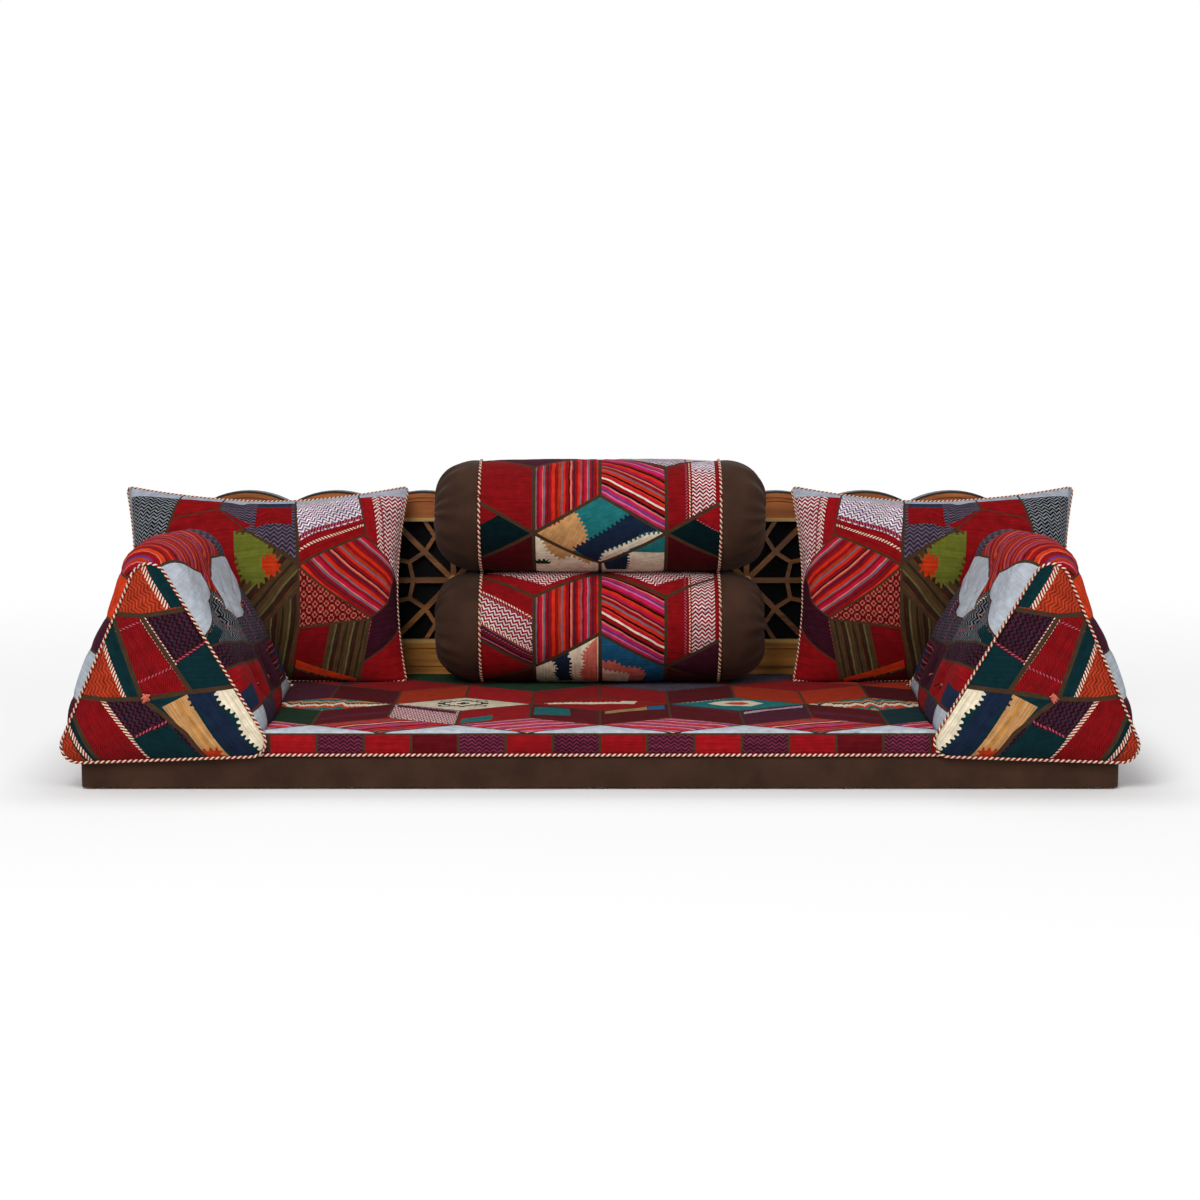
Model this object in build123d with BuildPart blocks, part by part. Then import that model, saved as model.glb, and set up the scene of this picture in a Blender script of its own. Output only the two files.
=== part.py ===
from build123d import *
import os
from math import atan2, cos, degrees, hypot, radians, sin, sqrt, tan

# Majlis floor sofa: a low upholstered platform, a pierced timber back, a thin patchwork mattress,
# two triangular arm wedges, two leaning pillows and two stacked bolsters.
# Millimetres. +X is the sitter's left seen from the front, +Y runs back, +Z up.
# The origin is on the floor under the middle glide.

os.makedirs("parts", exist_ok=True)

# Small shared values
rest_gap = 0.3
fit_gap = 0.2
overrun = 5.0

# Platform
base_width = 2000.0
base_depth = 750.0
base_front = -400.0
base_height = 60.0
base_corner_radius = 14.0
base_edge_radius = 4.0
skirt_thickness = 2.0
rail_thickness = 24.0
deck_thickness = 10.0
deck_panels = 3
deck_gap = 1.0
cross_rails = 5
block_leg = 40.0
block_height = 22.0
glide_height = 4.0
glide_radius = 11.0
glide_end_inset = 40.0
glides_per_rail = 5

# Screws that hold the platform rails
screw_radius = 2.5
screw_length = 60.0
screw_head_radius = 5.0
screw_head_depth = 3.0
screw_spacing = 26.0
side_screw_inset = 16.0

# Back frame
back_thickness = 32.0
post_width = 50.0
opening_bottom = 178.0
opening_top = 460.0
bottom_rail_foot = 24.0
valley_height = 33.0
arch_count = 9
arch_pitch = 196.0
arch_rise = 27.0
crest_band_thickness = 5.0
tenon_width = 26.0
tenon_thickness = 12.0
tenon_length = 18.0
groove_width = 2.5
groove_depth = 3.0
first_groove_drop = 9.0
second_groove_drop = 17.0
band_bottom = 126.0
band_top = 162.0
band_groove_width = 5.0
bead_size = 8.0

# Lattice
star_pitch = 328.0
star_arm_radius = 90.0
star_tip_radius = 107.0
star_points = 8
ray_width = 12.0
link_width = 9.0
lattice_depth = 14.0
lattice_setback = 8.0
lining_thickness = 4.0
middle_point_height = 54.0
side_point_offset = 63.0
boss_radius = 11.0
boss_height = 6.0
boss_chamfer = 2.0

# Bolts through the back into the platform
bolt_radius = 4.0
bolt_head_radius = 9.0
bolt_head_depth = 6.0
bolt_height = 40.0
nut_width = 13.0
nut_depth = 6.5
post_bolt_inset = 37.0
rail_bolt_count = 4

# Mattress
mattress_thickness = 48.0
mattress_back_gap = 7.0
mattress_corner_radius = 25.0
mattress_edge_radius = 14.0
mattress_cloth = 2.5
cord_radius = 3.5
cord_lead = 1.0

# Arm wedges
wedge_centre = 842.0
wedge_half_base = 197.0
wedge_apex_shift = 18.0
wedge_base_height = 70.0
wedge_outer_drop = 15.0
wedge_apex_height = 459.0
wedge_corner_radius = 30.0
wedge_tight_radius = 14.0
wedge_front = -410.5
wedge_rear = 142.0
wedge_swell = 20.0
wedge_flank_bow = 14.0
wedge_shoulder_swell_share = 0.8
wedge_shoulder = 70.0
wedge_cloth = 3.0
panel_bulge = 27.0
panel_shoulder_share = 0.45
panel_mid_inset = 14.0
panel_face_inset = 62.0
tuft_rows = 2
tufts_per_row = 3
tuft_floor_radius = 13.0
tuft_mouth_radius = 42.0
tuft_depth = 24.0
tuft_floor_level = 14.0
tuft_button_radius = 9.0
tuft_button_height = 5.0

# Bolsters
bolster_half_sleeve = 257.0
bolster_seam_radius = 119.5
bolster_crown_radius = 123.0
bolster_rest_radius = 121.0
bolster_half_length = 357.0
cap_shoulder_reach = 78.0
cap_shoulder_radius = 91.0
cap_shoulder_inset_share = 0.6
cap_face_radius = 36.0
cap_dimple_depth = 9.0
cap_dimple_radius = 15.0
bolster_cloth = 3.0
end_button_radius = 13.0
end_button_height = 6.0

# Pillows
pillow_centre = 733.0
pillow_half_width = 312.0
pillow_half_height = 219.0
pillow_half_depth = 60.0
pillow_lean = 13.0
pillow_side_draw = 24.0
pillow_top_draw = 36.0
pillow_cloth = 3.0
pillow_seam_flange = 14.0
pillow_press = 6.0
welt_size = 5.0
# depth, width, height and side bow of each section, as shares of the half sizes
pillow_section_shares = [
    (0.0, 1.0, 1.0, 1.0),
    (0.33, 0.93, 0.91, 0.55),
    (0.72, 0.80, 0.75, -0.1),
    (1.0, 0.50, 0.42, -0.35),
]

# Levels and places that follow from the values above
half_width = base_width / 2
base_back = base_front + base_depth
platform_top = glide_height + base_height
skirt = skirt_thickness + fit_gap
wood_half_width = half_width - skirt
wood_front = base_front + skirt
wood_top = platform_top - skirt
rail_height = wood_top - glide_height
inner_half_width = wood_half_width - rail_thickness
inner_front = wood_front + rail_thickness
inner_back = base_back - rail_thickness
inner_depth = inner_back - inner_front
cross_rail_top = wood_top - deck_thickness
cross_pitch = 2 * inner_half_width / (cross_rails + 1)
back_front = base_back + rest_gap
back_rear = back_front + back_thickness
mattress_bottom = platform_top + rest_gap
seat_top = mattress_bottom + mattress_thickness
seat = seat_top + rest_gap
mattress_back = base_back - mattress_back_gap


def midpoint(low, high):
    """The point half way between two points."""
    return tuple((high[i] + low[i]) / 2 for i in range(len(low)))


def block(low, high, mode=Mode.ADD):
    """A box between two opposite corners, added to the part that is open."""
    size = [high[i] - low[i] for i in range(len(low))]
    with Locations(midpoint(low, high)):
        return Box(*size, mode=mode)


def write(piece, name):
    """Labels a finished piece and writes it under its node's name."""
    piece.label = name
    export_step(piece, f"parts/{name}.step")


def mirrored(piece):
    """The same piece on the other side of the sofa."""
    with BuildPart() as copy:
        add(piece)
        mirror(about=Plane.YZ, mode=Mode.REPLACE)
    return copy.part


# Places of the screws: through the front and back rails into the side rails and cross rails
side_rail_x = wood_half_width - side_screw_inset
cross_rail_places = [(i + 1) * cross_pitch - inner_half_width for i in range(cross_rails)]
screw_columns = [-side_rail_x, *cross_rail_places, side_rail_x]
screw_middle = glide_height + (cross_rail_top - glide_height) / 2
screw_heights = [screw_middle - screw_spacing / 2, screw_middle + screw_spacing / 2]
screw_spots = [(x, z) for x in screw_columns for z in screw_heights]

# Places of the bolts: two through the posts, four through the bottom rail
post_bolt_x = half_width - post_bolt_inset
rail_bolt_places = [(i - (rail_bolt_count - 1) / 2) * cross_pitch for i in range(rail_bolt_count)]
bolt_places = [-post_bolt_x, *rail_bolt_places, post_bolt_x]


def sunk_holes(spots, radius, head_radius, head_depth, face, through):
    """Round holes along Y with a wider pocket for the head, cut from face towards through's sign."""
    into = 1 if through > 0 else -1
    with BuildSketch(Plane.XZ.offset(-face), mode=Mode.PRIVATE) as shanks:
        with Locations(*spots):
            Circle(radius)
    with BuildSketch(Plane.XZ.offset(-face), mode=Mode.PRIVATE) as heads:
        with Locations(*spots):
            Circle(head_radius)
    extrude(shanks.sketch, amount=through, mode=Mode.SUBTRACT)
    extrude(heads.sketch, amount=into * head_depth, mode=Mode.SUBTRACT)


# Platform rails
wood_corner_radius = base_corner_radius - skirt
hole_radius = screw_radius + fit_gap
head_hole_radius = screw_head_radius + fit_gap
head_hole_depth = screw_head_depth

with BuildPart() as front_rail:
    block((-wood_half_width, wood_front, glide_height), (wood_half_width, inner_front, wood_top))
    corners = front_rail.edges().filter_by(Axis.Z).group_by(Axis.Y)[0]
    fillet(corners, wood_corner_radius)
    sunk_holes(screw_spots, hole_radius, head_hole_radius, head_hole_depth, wood_front, -rail_thickness)
write(front_rail.part, "platform_front_rail")

bolt_spots = [(x, bolt_height) for x in bolt_places]
with BuildPart() as back_rail:
    block((-wood_half_width, inner_back, glide_height), (wood_half_width, base_back, wood_top))
    sunk_holes(screw_spots, hole_radius, head_hole_radius, head_hole_depth, base_back, rail_thickness)
    with BuildSketch(Plane.XZ.offset(-base_back)):
        with Locations(*bolt_spots):
            Circle(bolt_radius + fit_gap)
    extrude(amount=rail_thickness, mode=Mode.SUBTRACT)
write(back_rail.part, "platform_back_rail")

pilot_depth = screw_length - rail_thickness


def pilot_holes(x, heights):
    """Screw holes in both ends of a rail that runs front to back."""
    spots = [(x, z) for z in heights]
    for face, reach in ((inner_front, -pilot_depth), (inner_back, pilot_depth)):
        with BuildSketch(Plane.XZ.offset(-face), mode=Mode.PRIVATE) as pilots:
            with Locations(*spots):
                Circle(hole_radius)
        extrude(pilots.sketch, amount=reach, mode=Mode.SUBTRACT)


for side, side_name in ((-1, "left"), (1, "right")):
    inner_x = side * inner_half_width
    outer_x = side * wood_half_width
    with BuildPart() as side_rail:
        low_x, high_x = min(inner_x, outer_x), max(inner_x, outer_x)
        block((low_x, inner_front, glide_height), (high_x, inner_back, wood_top))
        pilot_holes(side * side_rail_x, screw_heights)
    write(side_rail.part, f"platform_side_rail_{side_name}")

with BuildPart() as cross_rail_set:
    for x in cross_rail_places:
        low_x, high_x = x - rail_thickness / 2, x + rail_thickness / 2
        block((low_x, inner_front, glide_height), (high_x, inner_back, cross_rail_top))
        pilot_holes(x, screw_heights)
write(cross_rail_set.part, "platform_cross_rails")

panel_run = 2 * inner_half_width / deck_panels
with BuildPart() as deck:
    for i in range(deck_panels):
        low_x = -inner_half_width + i * panel_run + deck_gap / 2
        high_x = low_x + panel_run - deck_gap
        block((low_x, inner_front, cross_rail_top), (high_x, inner_back, wood_top))
write(deck.part, "deck_panels")

with BuildPart() as blocks:
    for side_x in (-1, 1):
        for corner_y, side_y in ((inner_front, 1), (inner_back, -1)):
            corner_x = side_x * inner_half_width
            with BuildSketch(Plane.XY.offset(glide_height)):
                with BuildLine():
                    Polyline(
                        (corner_x, corner_y),
                        (corner_x - side_x * block_leg, corner_y),
                        (corner_x, corner_y + side_y * block_leg),
                        close=True,
                    )
                make_face()
            extrude(amount=block_height)
write(blocks.part, "corner_blocks")


# Screws: a countersunk disc and a shank each
with BuildPart() as screws:
    for face, into in ((wood_front, -1), (base_back, 1)):
        with BuildSketch(Plane.XZ.offset(-face)):
            with Locations(*screw_spots):
                Circle(screw_head_radius)
        extrude(amount=into * screw_head_depth)
        with BuildSketch(Plane.XZ.offset(-face)):
            with Locations(*screw_spots):
                Circle(screw_radius)
        extrude(amount=into * screw_length)
write(screws.part, "platform_screws")

# Suede skirt: a fitted sheet over the top, the front and both sides
with BuildPart() as skirt_sheet:
    block((-half_width, base_front, glide_height), (half_width, base_back, platform_top))
    fillet(skirt_sheet.edges().filter_by(Axis.Z).group_by(Axis.Y)[0], base_corner_radius)
    top_edges = skirt_sheet.faces().sort_by(Axis.Z)[-1].edges()
    fillet(top_edges.sort_by(Axis.Y)[:-1], base_edge_radius)
    cavity_front = base_front + skirt_thickness
    cavity_half_width = half_width - skirt_thickness
    with BuildSketch(Plane.XY.offset(glide_height)):
        with BuildLine():
            corner = base_corner_radius - skirt_thickness
            FilletPolyline(
                (-cavity_half_width, base_back),
                (-cavity_half_width, cavity_front),
                (cavity_half_width, cavity_front),
                (cavity_half_width, base_back),
                radius=corner,
            )
            Line((cavity_half_width, base_back), (-cavity_half_width, base_back))
        make_face()
    extrude(amount=base_height - skirt_thickness, mode=Mode.SUBTRACT)
write(skirt_sheet.part, "platform_skirt")

# Felt glides under the rails, the middle cross rail and the posts
glide_run = wood_half_width - glide_end_inset
front_glide_y = wood_front + rail_thickness / 2
back_glide_y = base_back - rail_thickness / 2
glide_step = 2 * glide_run / (glides_per_rail - 1)
glide_places = [(0, 0)]
for i in range(glides_per_rail):
    glide_places.append((i * glide_step - glide_run, front_glide_y))
    glide_places.append((i * glide_step - glide_run, back_glide_y))
for side in (-1, 1):
    glide_places.append((side * (half_width - post_width / 2), back_front + back_thickness / 2))
with BuildPart() as glides:
    with BuildSketch():
        with Locations(*glide_places):
            Circle(glide_radius)
    extrude(amount=glide_height)
write(glides.part, "felt_glides")

# Back posts with a tenon on top and a mortise for the bottom rail
post_inner = half_width - post_width
tenon_middle_y = (back_front + back_rear) / 2
bottom_rail_middle = (bottom_rail_foot + opening_bottom) / 2
rail_tenon_height = opening_bottom - bottom_rail_foot - 2 * post_width
mortise_gap = fit_gap / 2


def tenon_box(x_span, z_span, grow):
    """A tenon, or with a positive grow the mortise that takes it."""
    low = (x_span[0] - grow, tenon_middle_y - tenon_thickness / 2 - grow, z_span[0] - grow)
    high = (x_span[1] + grow, tenon_middle_y + tenon_thickness / 2 + grow, z_span[1] + grow)
    return low, high


post_middle = half_width - post_width / 2
post_tenon_x = (post_middle - tenon_width / 2, post_middle + tenon_width / 2)
post_tenon_z = (opening_top, opening_top + tenon_length)
rail_tenon_x = (post_inner, post_inner + tenon_length)
rail_tenon_z = (bottom_rail_middle - rail_tenon_height / 2, bottom_rail_middle + rail_tenon_height / 2)

with BuildPart() as post:
    block((post_inner, back_front, glide_height), (half_width, back_rear, opening_top))
    block(*tenon_box(post_tenon_x, post_tenon_z, 0))
    block(*tenon_box(rail_tenon_x, rail_tenon_z, mortise_gap), mode=Mode.SUBTRACT)
    sunk_holes(
        [(post_bolt_x, bolt_height)],
        bolt_radius + fit_gap,
        bolt_head_radius + fit_gap,
        bolt_head_depth,
        back_rear,
        back_thickness,
    )
write(post.part, "back_post_right")
write(mirrored(post.part), "back_post_left")

# Bottom rail with a raised band between two grooves
with BuildPart() as bottom_rail:
    block((-post_inner, back_front, bottom_rail_foot), (post_inner, back_rear, opening_bottom))
    for span in (rail_tenon_x, (-rail_tenon_x[1], -rail_tenon_x[0])):
        block(*tenon_box(span, rail_tenon_z, 0))
    for level in (band_bottom - band_groove_width / 2, band_top + band_groove_width / 2):
        with Locations((0, back_front, level)):
            Box(2 * post_inner, 2 * groove_depth, band_groove_width, mode=Mode.SUBTRACT)
    sunk_holes(
        [(x, bolt_height) for x in rail_bolt_places],
        bolt_radius + fit_gap,
        bolt_head_radius + fit_gap,
        bolt_head_depth,
        back_rear,
        back_thickness,
    )
write(bottom_rail.part, "back_bottom_rail")

# Scalloped top rail: a row of low arches between two plain shoulders
arch_half = arch_pitch / 2
arch_radius = (arch_half**2 + arch_rise**2) / (2 * arch_rise)
valley = opening_top + valley_height
arch_places = [(i - (arch_count - 1) / 2) * arch_pitch for i in range(arch_count)]
crest_half = arch_count * arch_pitch / 2


def scallops(drop):
    """The crest's line, lowered by drop, from the left shoulder to the right one."""
    for x in arch_places:
        ThreePointArc(
            (x - arch_half, valley - drop),
            (x, valley + arch_rise - drop),
            (x + arch_half, valley - drop),
        )


band_drop = crest_band_thickness
with BuildPart() as top_rail:
    with BuildSketch(Plane.XZ.offset(-back_front)):
        with BuildLine():
            scallops(band_drop)
            Polyline(
                (crest_half, valley - band_drop),
                (half_width, valley - band_drop),
                (half_width, opening_top),
                (-half_width, opening_top),
                (-half_width, valley - band_drop),
                (-crest_half, valley - band_drop),
            )
        make_face()
    extrude(amount=-back_thickness)
    for span in (post_tenon_x, (-post_tenon_x[1], -post_tenon_x[0])):
        block(*tenon_box(span, post_tenon_z, mortise_gap), mode=Mode.SUBTRACT)
    for drop in (first_groove_drop, second_groove_drop):
        groove_top = valley - band_drop - drop
        with BuildSketch(Plane.XZ.offset(-back_front)):
            with BuildLine():
                scallops(band_drop + drop)
                Line((crest_half, groove_top), (crest_half, groove_top - groove_width))
                scallops(band_drop + drop + groove_width)
                Line((-crest_half, groove_top - groove_width), (-crest_half, groove_top))
            make_face()
        extrude(amount=-groove_depth, mode=Mode.SUBTRACT)
write(top_rail.part, "back_top_rail")

with BuildPart() as crest_band:
    with BuildSketch(Plane.XZ.offset(-back_front)):
        with BuildLine():
            scallops(0)
            Line((crest_half, valley), (crest_half, valley - band_drop))
            scallops(band_drop)
            Line((-crest_half, valley - band_drop), (-crest_half, valley))
        make_face()
        for side in (-1, 1):
            shoulder = half_width - crest_half
            with Locations((side * (crest_half + shoulder / 2), valley - band_drop / 2)):
                Rectangle(shoulder, band_drop)
    extrude(amount=-back_thickness)
write(crest_band.part, "crest_band")

# Pale beads along the top and the bottom of the opening
with BuildPart() as beads:
    for low_z in (opening_bottom, opening_top - bead_size):
        bead_rear = back_front + bead_size + lattice_setback
        block((-post_inner, back_front, low_z), (post_inner, bead_rear, low_z + bead_size))
write(beads.part, "opening_beads")

# Star lattice, one panel for each star; the end panels stop at the posts
field_bottom = opening_bottom + bead_size
field_top = opening_top - bead_size
field_middle = (field_bottom + field_top) / 2
field_half = (field_top - field_bottom) / 2
half_pitch = star_pitch / 2
star_step = 360 / star_points


def lattice_bar(start, end, width):
    """One straight bar from start to end, added to the open sketch."""
    run = (end[0] - start[0], end[1] - start[1])
    middle = ((start[0] + end[0]) / 2, (start[1] + end[1]) / 2)
    with Locations(Location((*middle, 0), (0, 0, degrees(atan2(run[1], run[0]))))):
        Rectangle(hypot(*run) + width / 2, width)


def round_star(radius, turns):
    """A point at this radius, turned by a number of star steps."""
    angle = radians(turns * star_step)
    return (radius * cos(angle), radius * sin(angle))


def star_panel(centre, low_x, high_x):
    """The lattice round one star, cut off at low_x and high_x."""
    arms = [round_star(star_arm_radius, i) for i in range(3)]
    tips = [round_star(star_tip_radius, i + 1 / 2) for i in range(2)]
    with BuildPart() as panel:
        with BuildSketch(Plane.XZ.offset(-back_front - lattice_setback)):
            with BuildSketch(mode=Mode.PRIVATE) as star:
                lattice_bar((0, 0), (half_pitch, 0), ray_width)
                lattice_bar((0, 0), (field_half, field_half), ray_width)
                lattice_bar((0, 0), (0, field_half), ray_width)
                for arm, tip in ((0, 0), (1, 0), (1, 1), (2, 1)):
                    lattice_bar(arms[arm], tips[tip], link_width)
                lattice_bar(tips[0], (half_pitch, middle_point_height), link_width)
                lattice_bar((half_pitch, middle_point_height), (half_pitch, field_half), link_width)
                lattice_bar(tips[1], (side_point_offset, field_half), link_width)
                mirror(about=Plane.XZ)
                mirror(about=Plane.YZ)
            with Locations((centre, field_middle)):
                add(star.sketch)
            with Locations(((low_x + high_x) / 2, field_middle)):
                Rectangle(high_x - low_x, 2 * field_half, mode=Mode.INTERSECT)
        extrude(amount=-lattice_depth)
    return panel.part


panel_count = int(2 * post_inner / star_pitch / 2) * 2 + 1
panel_middle = (panel_count - 1) // 2
last_edge = post_inner
panel_edges = [-last_edge]
panel_edges += [(i - panel_middle + 1 / 2) * star_pitch for i in range(panel_count - 1)]
panel_edges += [last_edge]
star_places = [(i - panel_middle) * star_pitch for i in range(panel_count)]
for i in range(panel_count):
    panel = star_panel(star_places[i], panel_edges[i], panel_edges[i + 1])
    write(panel, f"lattice_panel_{i + 1}")

# Dark lining board let into the frame, close behind the lattice
lining_front = back_front + lattice_setback + lattice_depth
with BuildPart() as lining:
    block(
        (-post_inner, lining_front, opening_bottom),
        (post_inner, lining_front + lining_thickness, opening_top),
    )
write(lining.part, "back_lining")

# Turned bosses on the whole stars
whole_stars = [x for x in star_places if abs(x) + boss_radius < post_inner]
with BuildPart() as bosses:
    with BuildSketch(Plane.XZ.offset(-back_front - lattice_setback)):
        with Locations(*[(x, field_middle) for x in whole_stars]):
            Circle(boss_radius)
    extrude(amount=boss_height)
    chamfer(bosses.faces().sort_by(Axis.Y).group_by(Axis.Y)[0].edges(), boss_chamfer)
write(bosses.part, "lattice_bosses")

# Bolts: a flat head sunk in the rear, a shank through both timbers and a nut inside
with BuildPart() as bolts:
    with BuildSketch(Plane.XZ.offset(-back_rear)):
        with Locations(*bolt_spots):
            Circle(bolt_head_radius)
    extrude(amount=bolt_head_depth)
    with BuildSketch(Plane.XZ.offset(-back_rear)):
        with Locations(*bolt_spots):
            Circle(bolt_radius)
    extrude(amount=back_rear - inner_back + nut_depth)
    with BuildSketch(Plane.XZ.offset(-inner_back)):
        with Locations(*bolt_spots):
            RegularPolygon(nut_width / 2, 6, major_radius=False)
    extrude(amount=nut_depth)
write(bolts.part, "back_bolts")


# Mattress: a thin box cushion with rounded upper edges
def mattress_body(inset):
    """The mattress's outer form, drawn in by inset on every side but the underside."""
    front = base_front + inset
    back = mattress_back - inset
    half = half_width - inset
    with BuildPart() as body:
        block((-half, front, mattress_bottom), (half, back, seat_top - inset))
        fillet(body.edges().filter_by(Axis.Z), mattress_corner_radius - inset)
        fillet(body.faces().sort_by(Axis.Z)[-1].edges(), mattress_edge_radius - inset)
    return body.part


mattress_outer = mattress_body(0)
mattress_cavity = mattress_body(mattress_cloth)
mattress_fill = mattress_body(mattress_cloth + fit_gap)
under_cloth_top = mattress_bottom + mattress_cloth

with BuildPart() as mattress_cover:
    add(mattress_outer)
    add(mattress_cavity, mode=Mode.SUBTRACT)
write(mattress_cover.part, "mattress_cover")

with BuildPart() as mattress_underside:
    add(mattress_fill)
    split(bisect_by=Plane.XY.offset(under_cloth_top), keep=Keep.BOTTOM)
write(mattress_underside.part, "mattress_underside")

with BuildPart() as mattress_foam:
    add(mattress_fill)
    split(bisect_by=Plane.XY.offset(under_cloth_top), keep=Keep.TOP)
write(mattress_foam.part, "mattress_foam")

# Cord round the mattress's lower seam
cord_offset = cord_radius + fit_gap / 2
mattress_cord_z = mattress_bottom + cord_radius
with BuildPart() as mattress_cord:
    with BuildLine(Plane.XY.offset(mattress_cord_z)) as cord_path:
        half = half_width + cord_offset
        front, back = base_front - cord_offset, mattress_back + cord_offset
        radius = mattress_corner_radius + cord_offset
        FilletPolyline((0, front), (half, front), (half, back), (0, back), radius=radius)
        mirror(about=Plane.YZ)
    with BuildSketch(cord_path.wires()[0] ^ 0):
        Circle(cord_radius)
    sweep(path=cord_path.wires()[0])
write(mattress_cord.part, "mattress_cord")


# Arm wedges, built on the right and mirrored to the left
def wedge_corners(grow):
    """The three corners of the end triangle, moved out so that each side moves by grow."""
    left = (wedge_centre - wedge_half_base, wedge_base_height)
    right = (wedge_centre + wedge_half_base, wedge_base_height - wedge_outer_drop)
    apex = (wedge_centre + wedge_apex_shift, wedge_apex_height)
    sides = [hypot(b[0] - a[0], b[1] - a[1]) for a, b in ((right, apex), (apex, left), (left, right))]
    reach = sum(sides)
    middle = [sum(s * p[i] for s, p in zip(sides, (left, right, apex))) / reach for i in range(2)]
    run, rise = right[0] - left[0], apex[1] - left[1]
    inner_radius = (run * rise - (apex[0] - left[0]) * (right[1] - left[1])) / reach
    scale = 1 + grow / inner_radius
    corners = (left, right, apex)
    return [tuple(middle[i] + (p[i] - middle[i]) * scale for i in range(2)) for p in corners]


def unit(start, end):
    """The direction from start to end and the distance between them."""
    length = hypot(end[0] - start[0], end[1] - start[1])
    return ((end[0] - start[0]) / length, (end[1] - start[1]) / length), length


def wedge_outline(grow, bow):
    """A rounded triangle in the open line builder, with sides that bow out by bow."""
    corners = wedge_corners(grow)
    radius = max(wedge_corner_radius + grow, wedge_tight_radius)
    starts, ends, tops = [], [], []
    for i in range(3):
        ahead, _ = unit(corners[i], corners[(i + 1) % 3])
        behind, _ = unit(corners[i], corners[i - 1])
        spread = hypot(ahead[0] - behind[0], ahead[1] - behind[1])
        half_angle = atan2(spread, hypot(ahead[0] + behind[0], ahead[1] + behind[1]))
        reach = radius / tan(half_angle)
        inward, _ = unit((0, 0), (ahead[0] + behind[0], ahead[1] + behind[1]))
        depth = radius / sin(half_angle) - radius
        starts.append((corners[i][0] + behind[0] * reach, corners[i][1] + behind[1] * reach))
        tops.append((corners[i][0] + inward[0] * depth, corners[i][1] + inward[1] * depth))
        ends.append((corners[i][0] + ahead[0] * reach, corners[i][1] + ahead[1] * reach))
    for i in range(3):
        ThreePointArc(starts[i], tops[i], ends[i])
        following = starts[(i + 1) % 3]
        if bow > 0:
            along, _ = unit(ends[i], following)
            middle = ((ends[i][0] + following[0]) / 2, (ends[i][1] + following[1]) / 2)
            ThreePointArc(ends[i], (middle[0] + along[1] * bow, middle[1] - along[0] * bow), following)
        else:
            Line(ends[i], following)


def flank_planes():
    """Planes on the inner and the outer flank: x up the slope, z out of the wedge."""
    left, right, apex = wedge_corners(0)
    middle_y = (wedge_front + wedge_rear) / 2
    planes = []
    for foot, outward in ((left, -1), (right, 1)):
        up, length = unit(foot, apex)
        normal = (outward * up[1], 0, -outward * up[0])
        middle = ((foot[0] + apex[0]) / 2, middle_y, (foot[1] + apex[1]) / 2)
        planes.append((Plane(origin=middle, x_dir=(up[0], 0, up[1]), z_dir=normal), length))
    return planes


tuft_run = wedge_rear - wedge_front
tuft_pitch = tuft_run / (tufts_per_row + 1)


def wedge_body(inset):
    """The stuffed wedge between its end panels, drawn in by inset, with its tufts pressed in."""
    sections = [
        (wedge_front, 0, 0),
        (wedge_front + wedge_shoulder, wedge_swell * wedge_shoulder_swell_share, wedge_flank_bow),
        ((wedge_front + wedge_rear) / 2, wedge_swell, wedge_flank_bow),
        (wedge_rear - wedge_shoulder, wedge_swell * wedge_shoulder_swell_share, wedge_flank_bow),
        (wedge_rear, 0, 0),
    ]
    with BuildPart() as body:
        for y, grow, bow in sections:
            with BuildSketch(Plane.XZ.offset(-y)):
                with BuildLine():
                    wedge_outline(grow - inset, bow)
                make_face()
        loft()
        for plane, length in flank_planes():
            row_pitch = length / (tuft_rows + 1)
            floor = plane.offset(tuft_floor_level - inset)
            with Locations(floor):
                with GridLocations(row_pitch, tuft_pitch, tuft_rows, tufts_per_row):
                    Cone(
                        tuft_floor_radius + inset,
                        tuft_mouth_radius + inset,
                        tuft_depth,
                        align=(Align.CENTER, Align.CENTER, Align.MIN),
                        mode=Mode.SUBTRACT,
                    )
        split(bisect_by=Plane.XY.offset(seat + inset), keep=Keep.TOP)
    return body.part


wedge_outer = wedge_body(0)
wedge_cavity = wedge_body(wedge_cloth)
wedge_fill = wedge_body(wedge_cloth + fit_gap)

with BuildPart() as wedge_cover:
    add(wedge_outer)
    add(wedge_cavity, mode=Mode.SUBTRACT)

with BuildPart() as wedge_core:
    add(wedge_fill)


def wedge_panel(face, outward, trimmed):
    """A padded end panel: full size at the seam, crowned outwards."""
    with BuildPart() as panel:
        for share, inset in ((0, 0), (panel_shoulder_share, panel_mid_inset), (1, panel_face_inset)):
            with BuildSketch(Plane.XZ.offset(-face - outward * share * panel_bulge)):
                with BuildLine():
                    wedge_outline(-inset, 0)
                make_face()
        loft()
        if trimmed:
            split(bisect_by=Plane.XY.offset(seat), keep=Keep.TOP)
    return panel.part


def wedge_cord(face, outward, trimmed):
    """The twisted cord that follows an end panel's seam."""
    with BuildPart() as cord:
        with BuildLine(Plane.XZ.offset(-face - outward * cord_lead)) as path:
            wedge_outline(cord_offset, 0)
        with BuildSketch(path.wires()[0] ^ 0):
            Circle(cord_radius)
        sweep(path=path.wires()[0])
        if trimmed:
            split(bisect_by=Plane.XY.offset(seat), keep=Keep.TOP)
    return cord.part


wedge_front_panel = wedge_panel(wedge_front, -1, False)
wedge_rear_panel = wedge_panel(wedge_rear, 1, True)
front_cord = wedge_cord(wedge_front, -1, False)
rear_cord = wedge_cord(wedge_rear, 1, True)

with BuildPart() as wedge_cords:
    add(front_cord)
    add(rear_cord)

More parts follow.
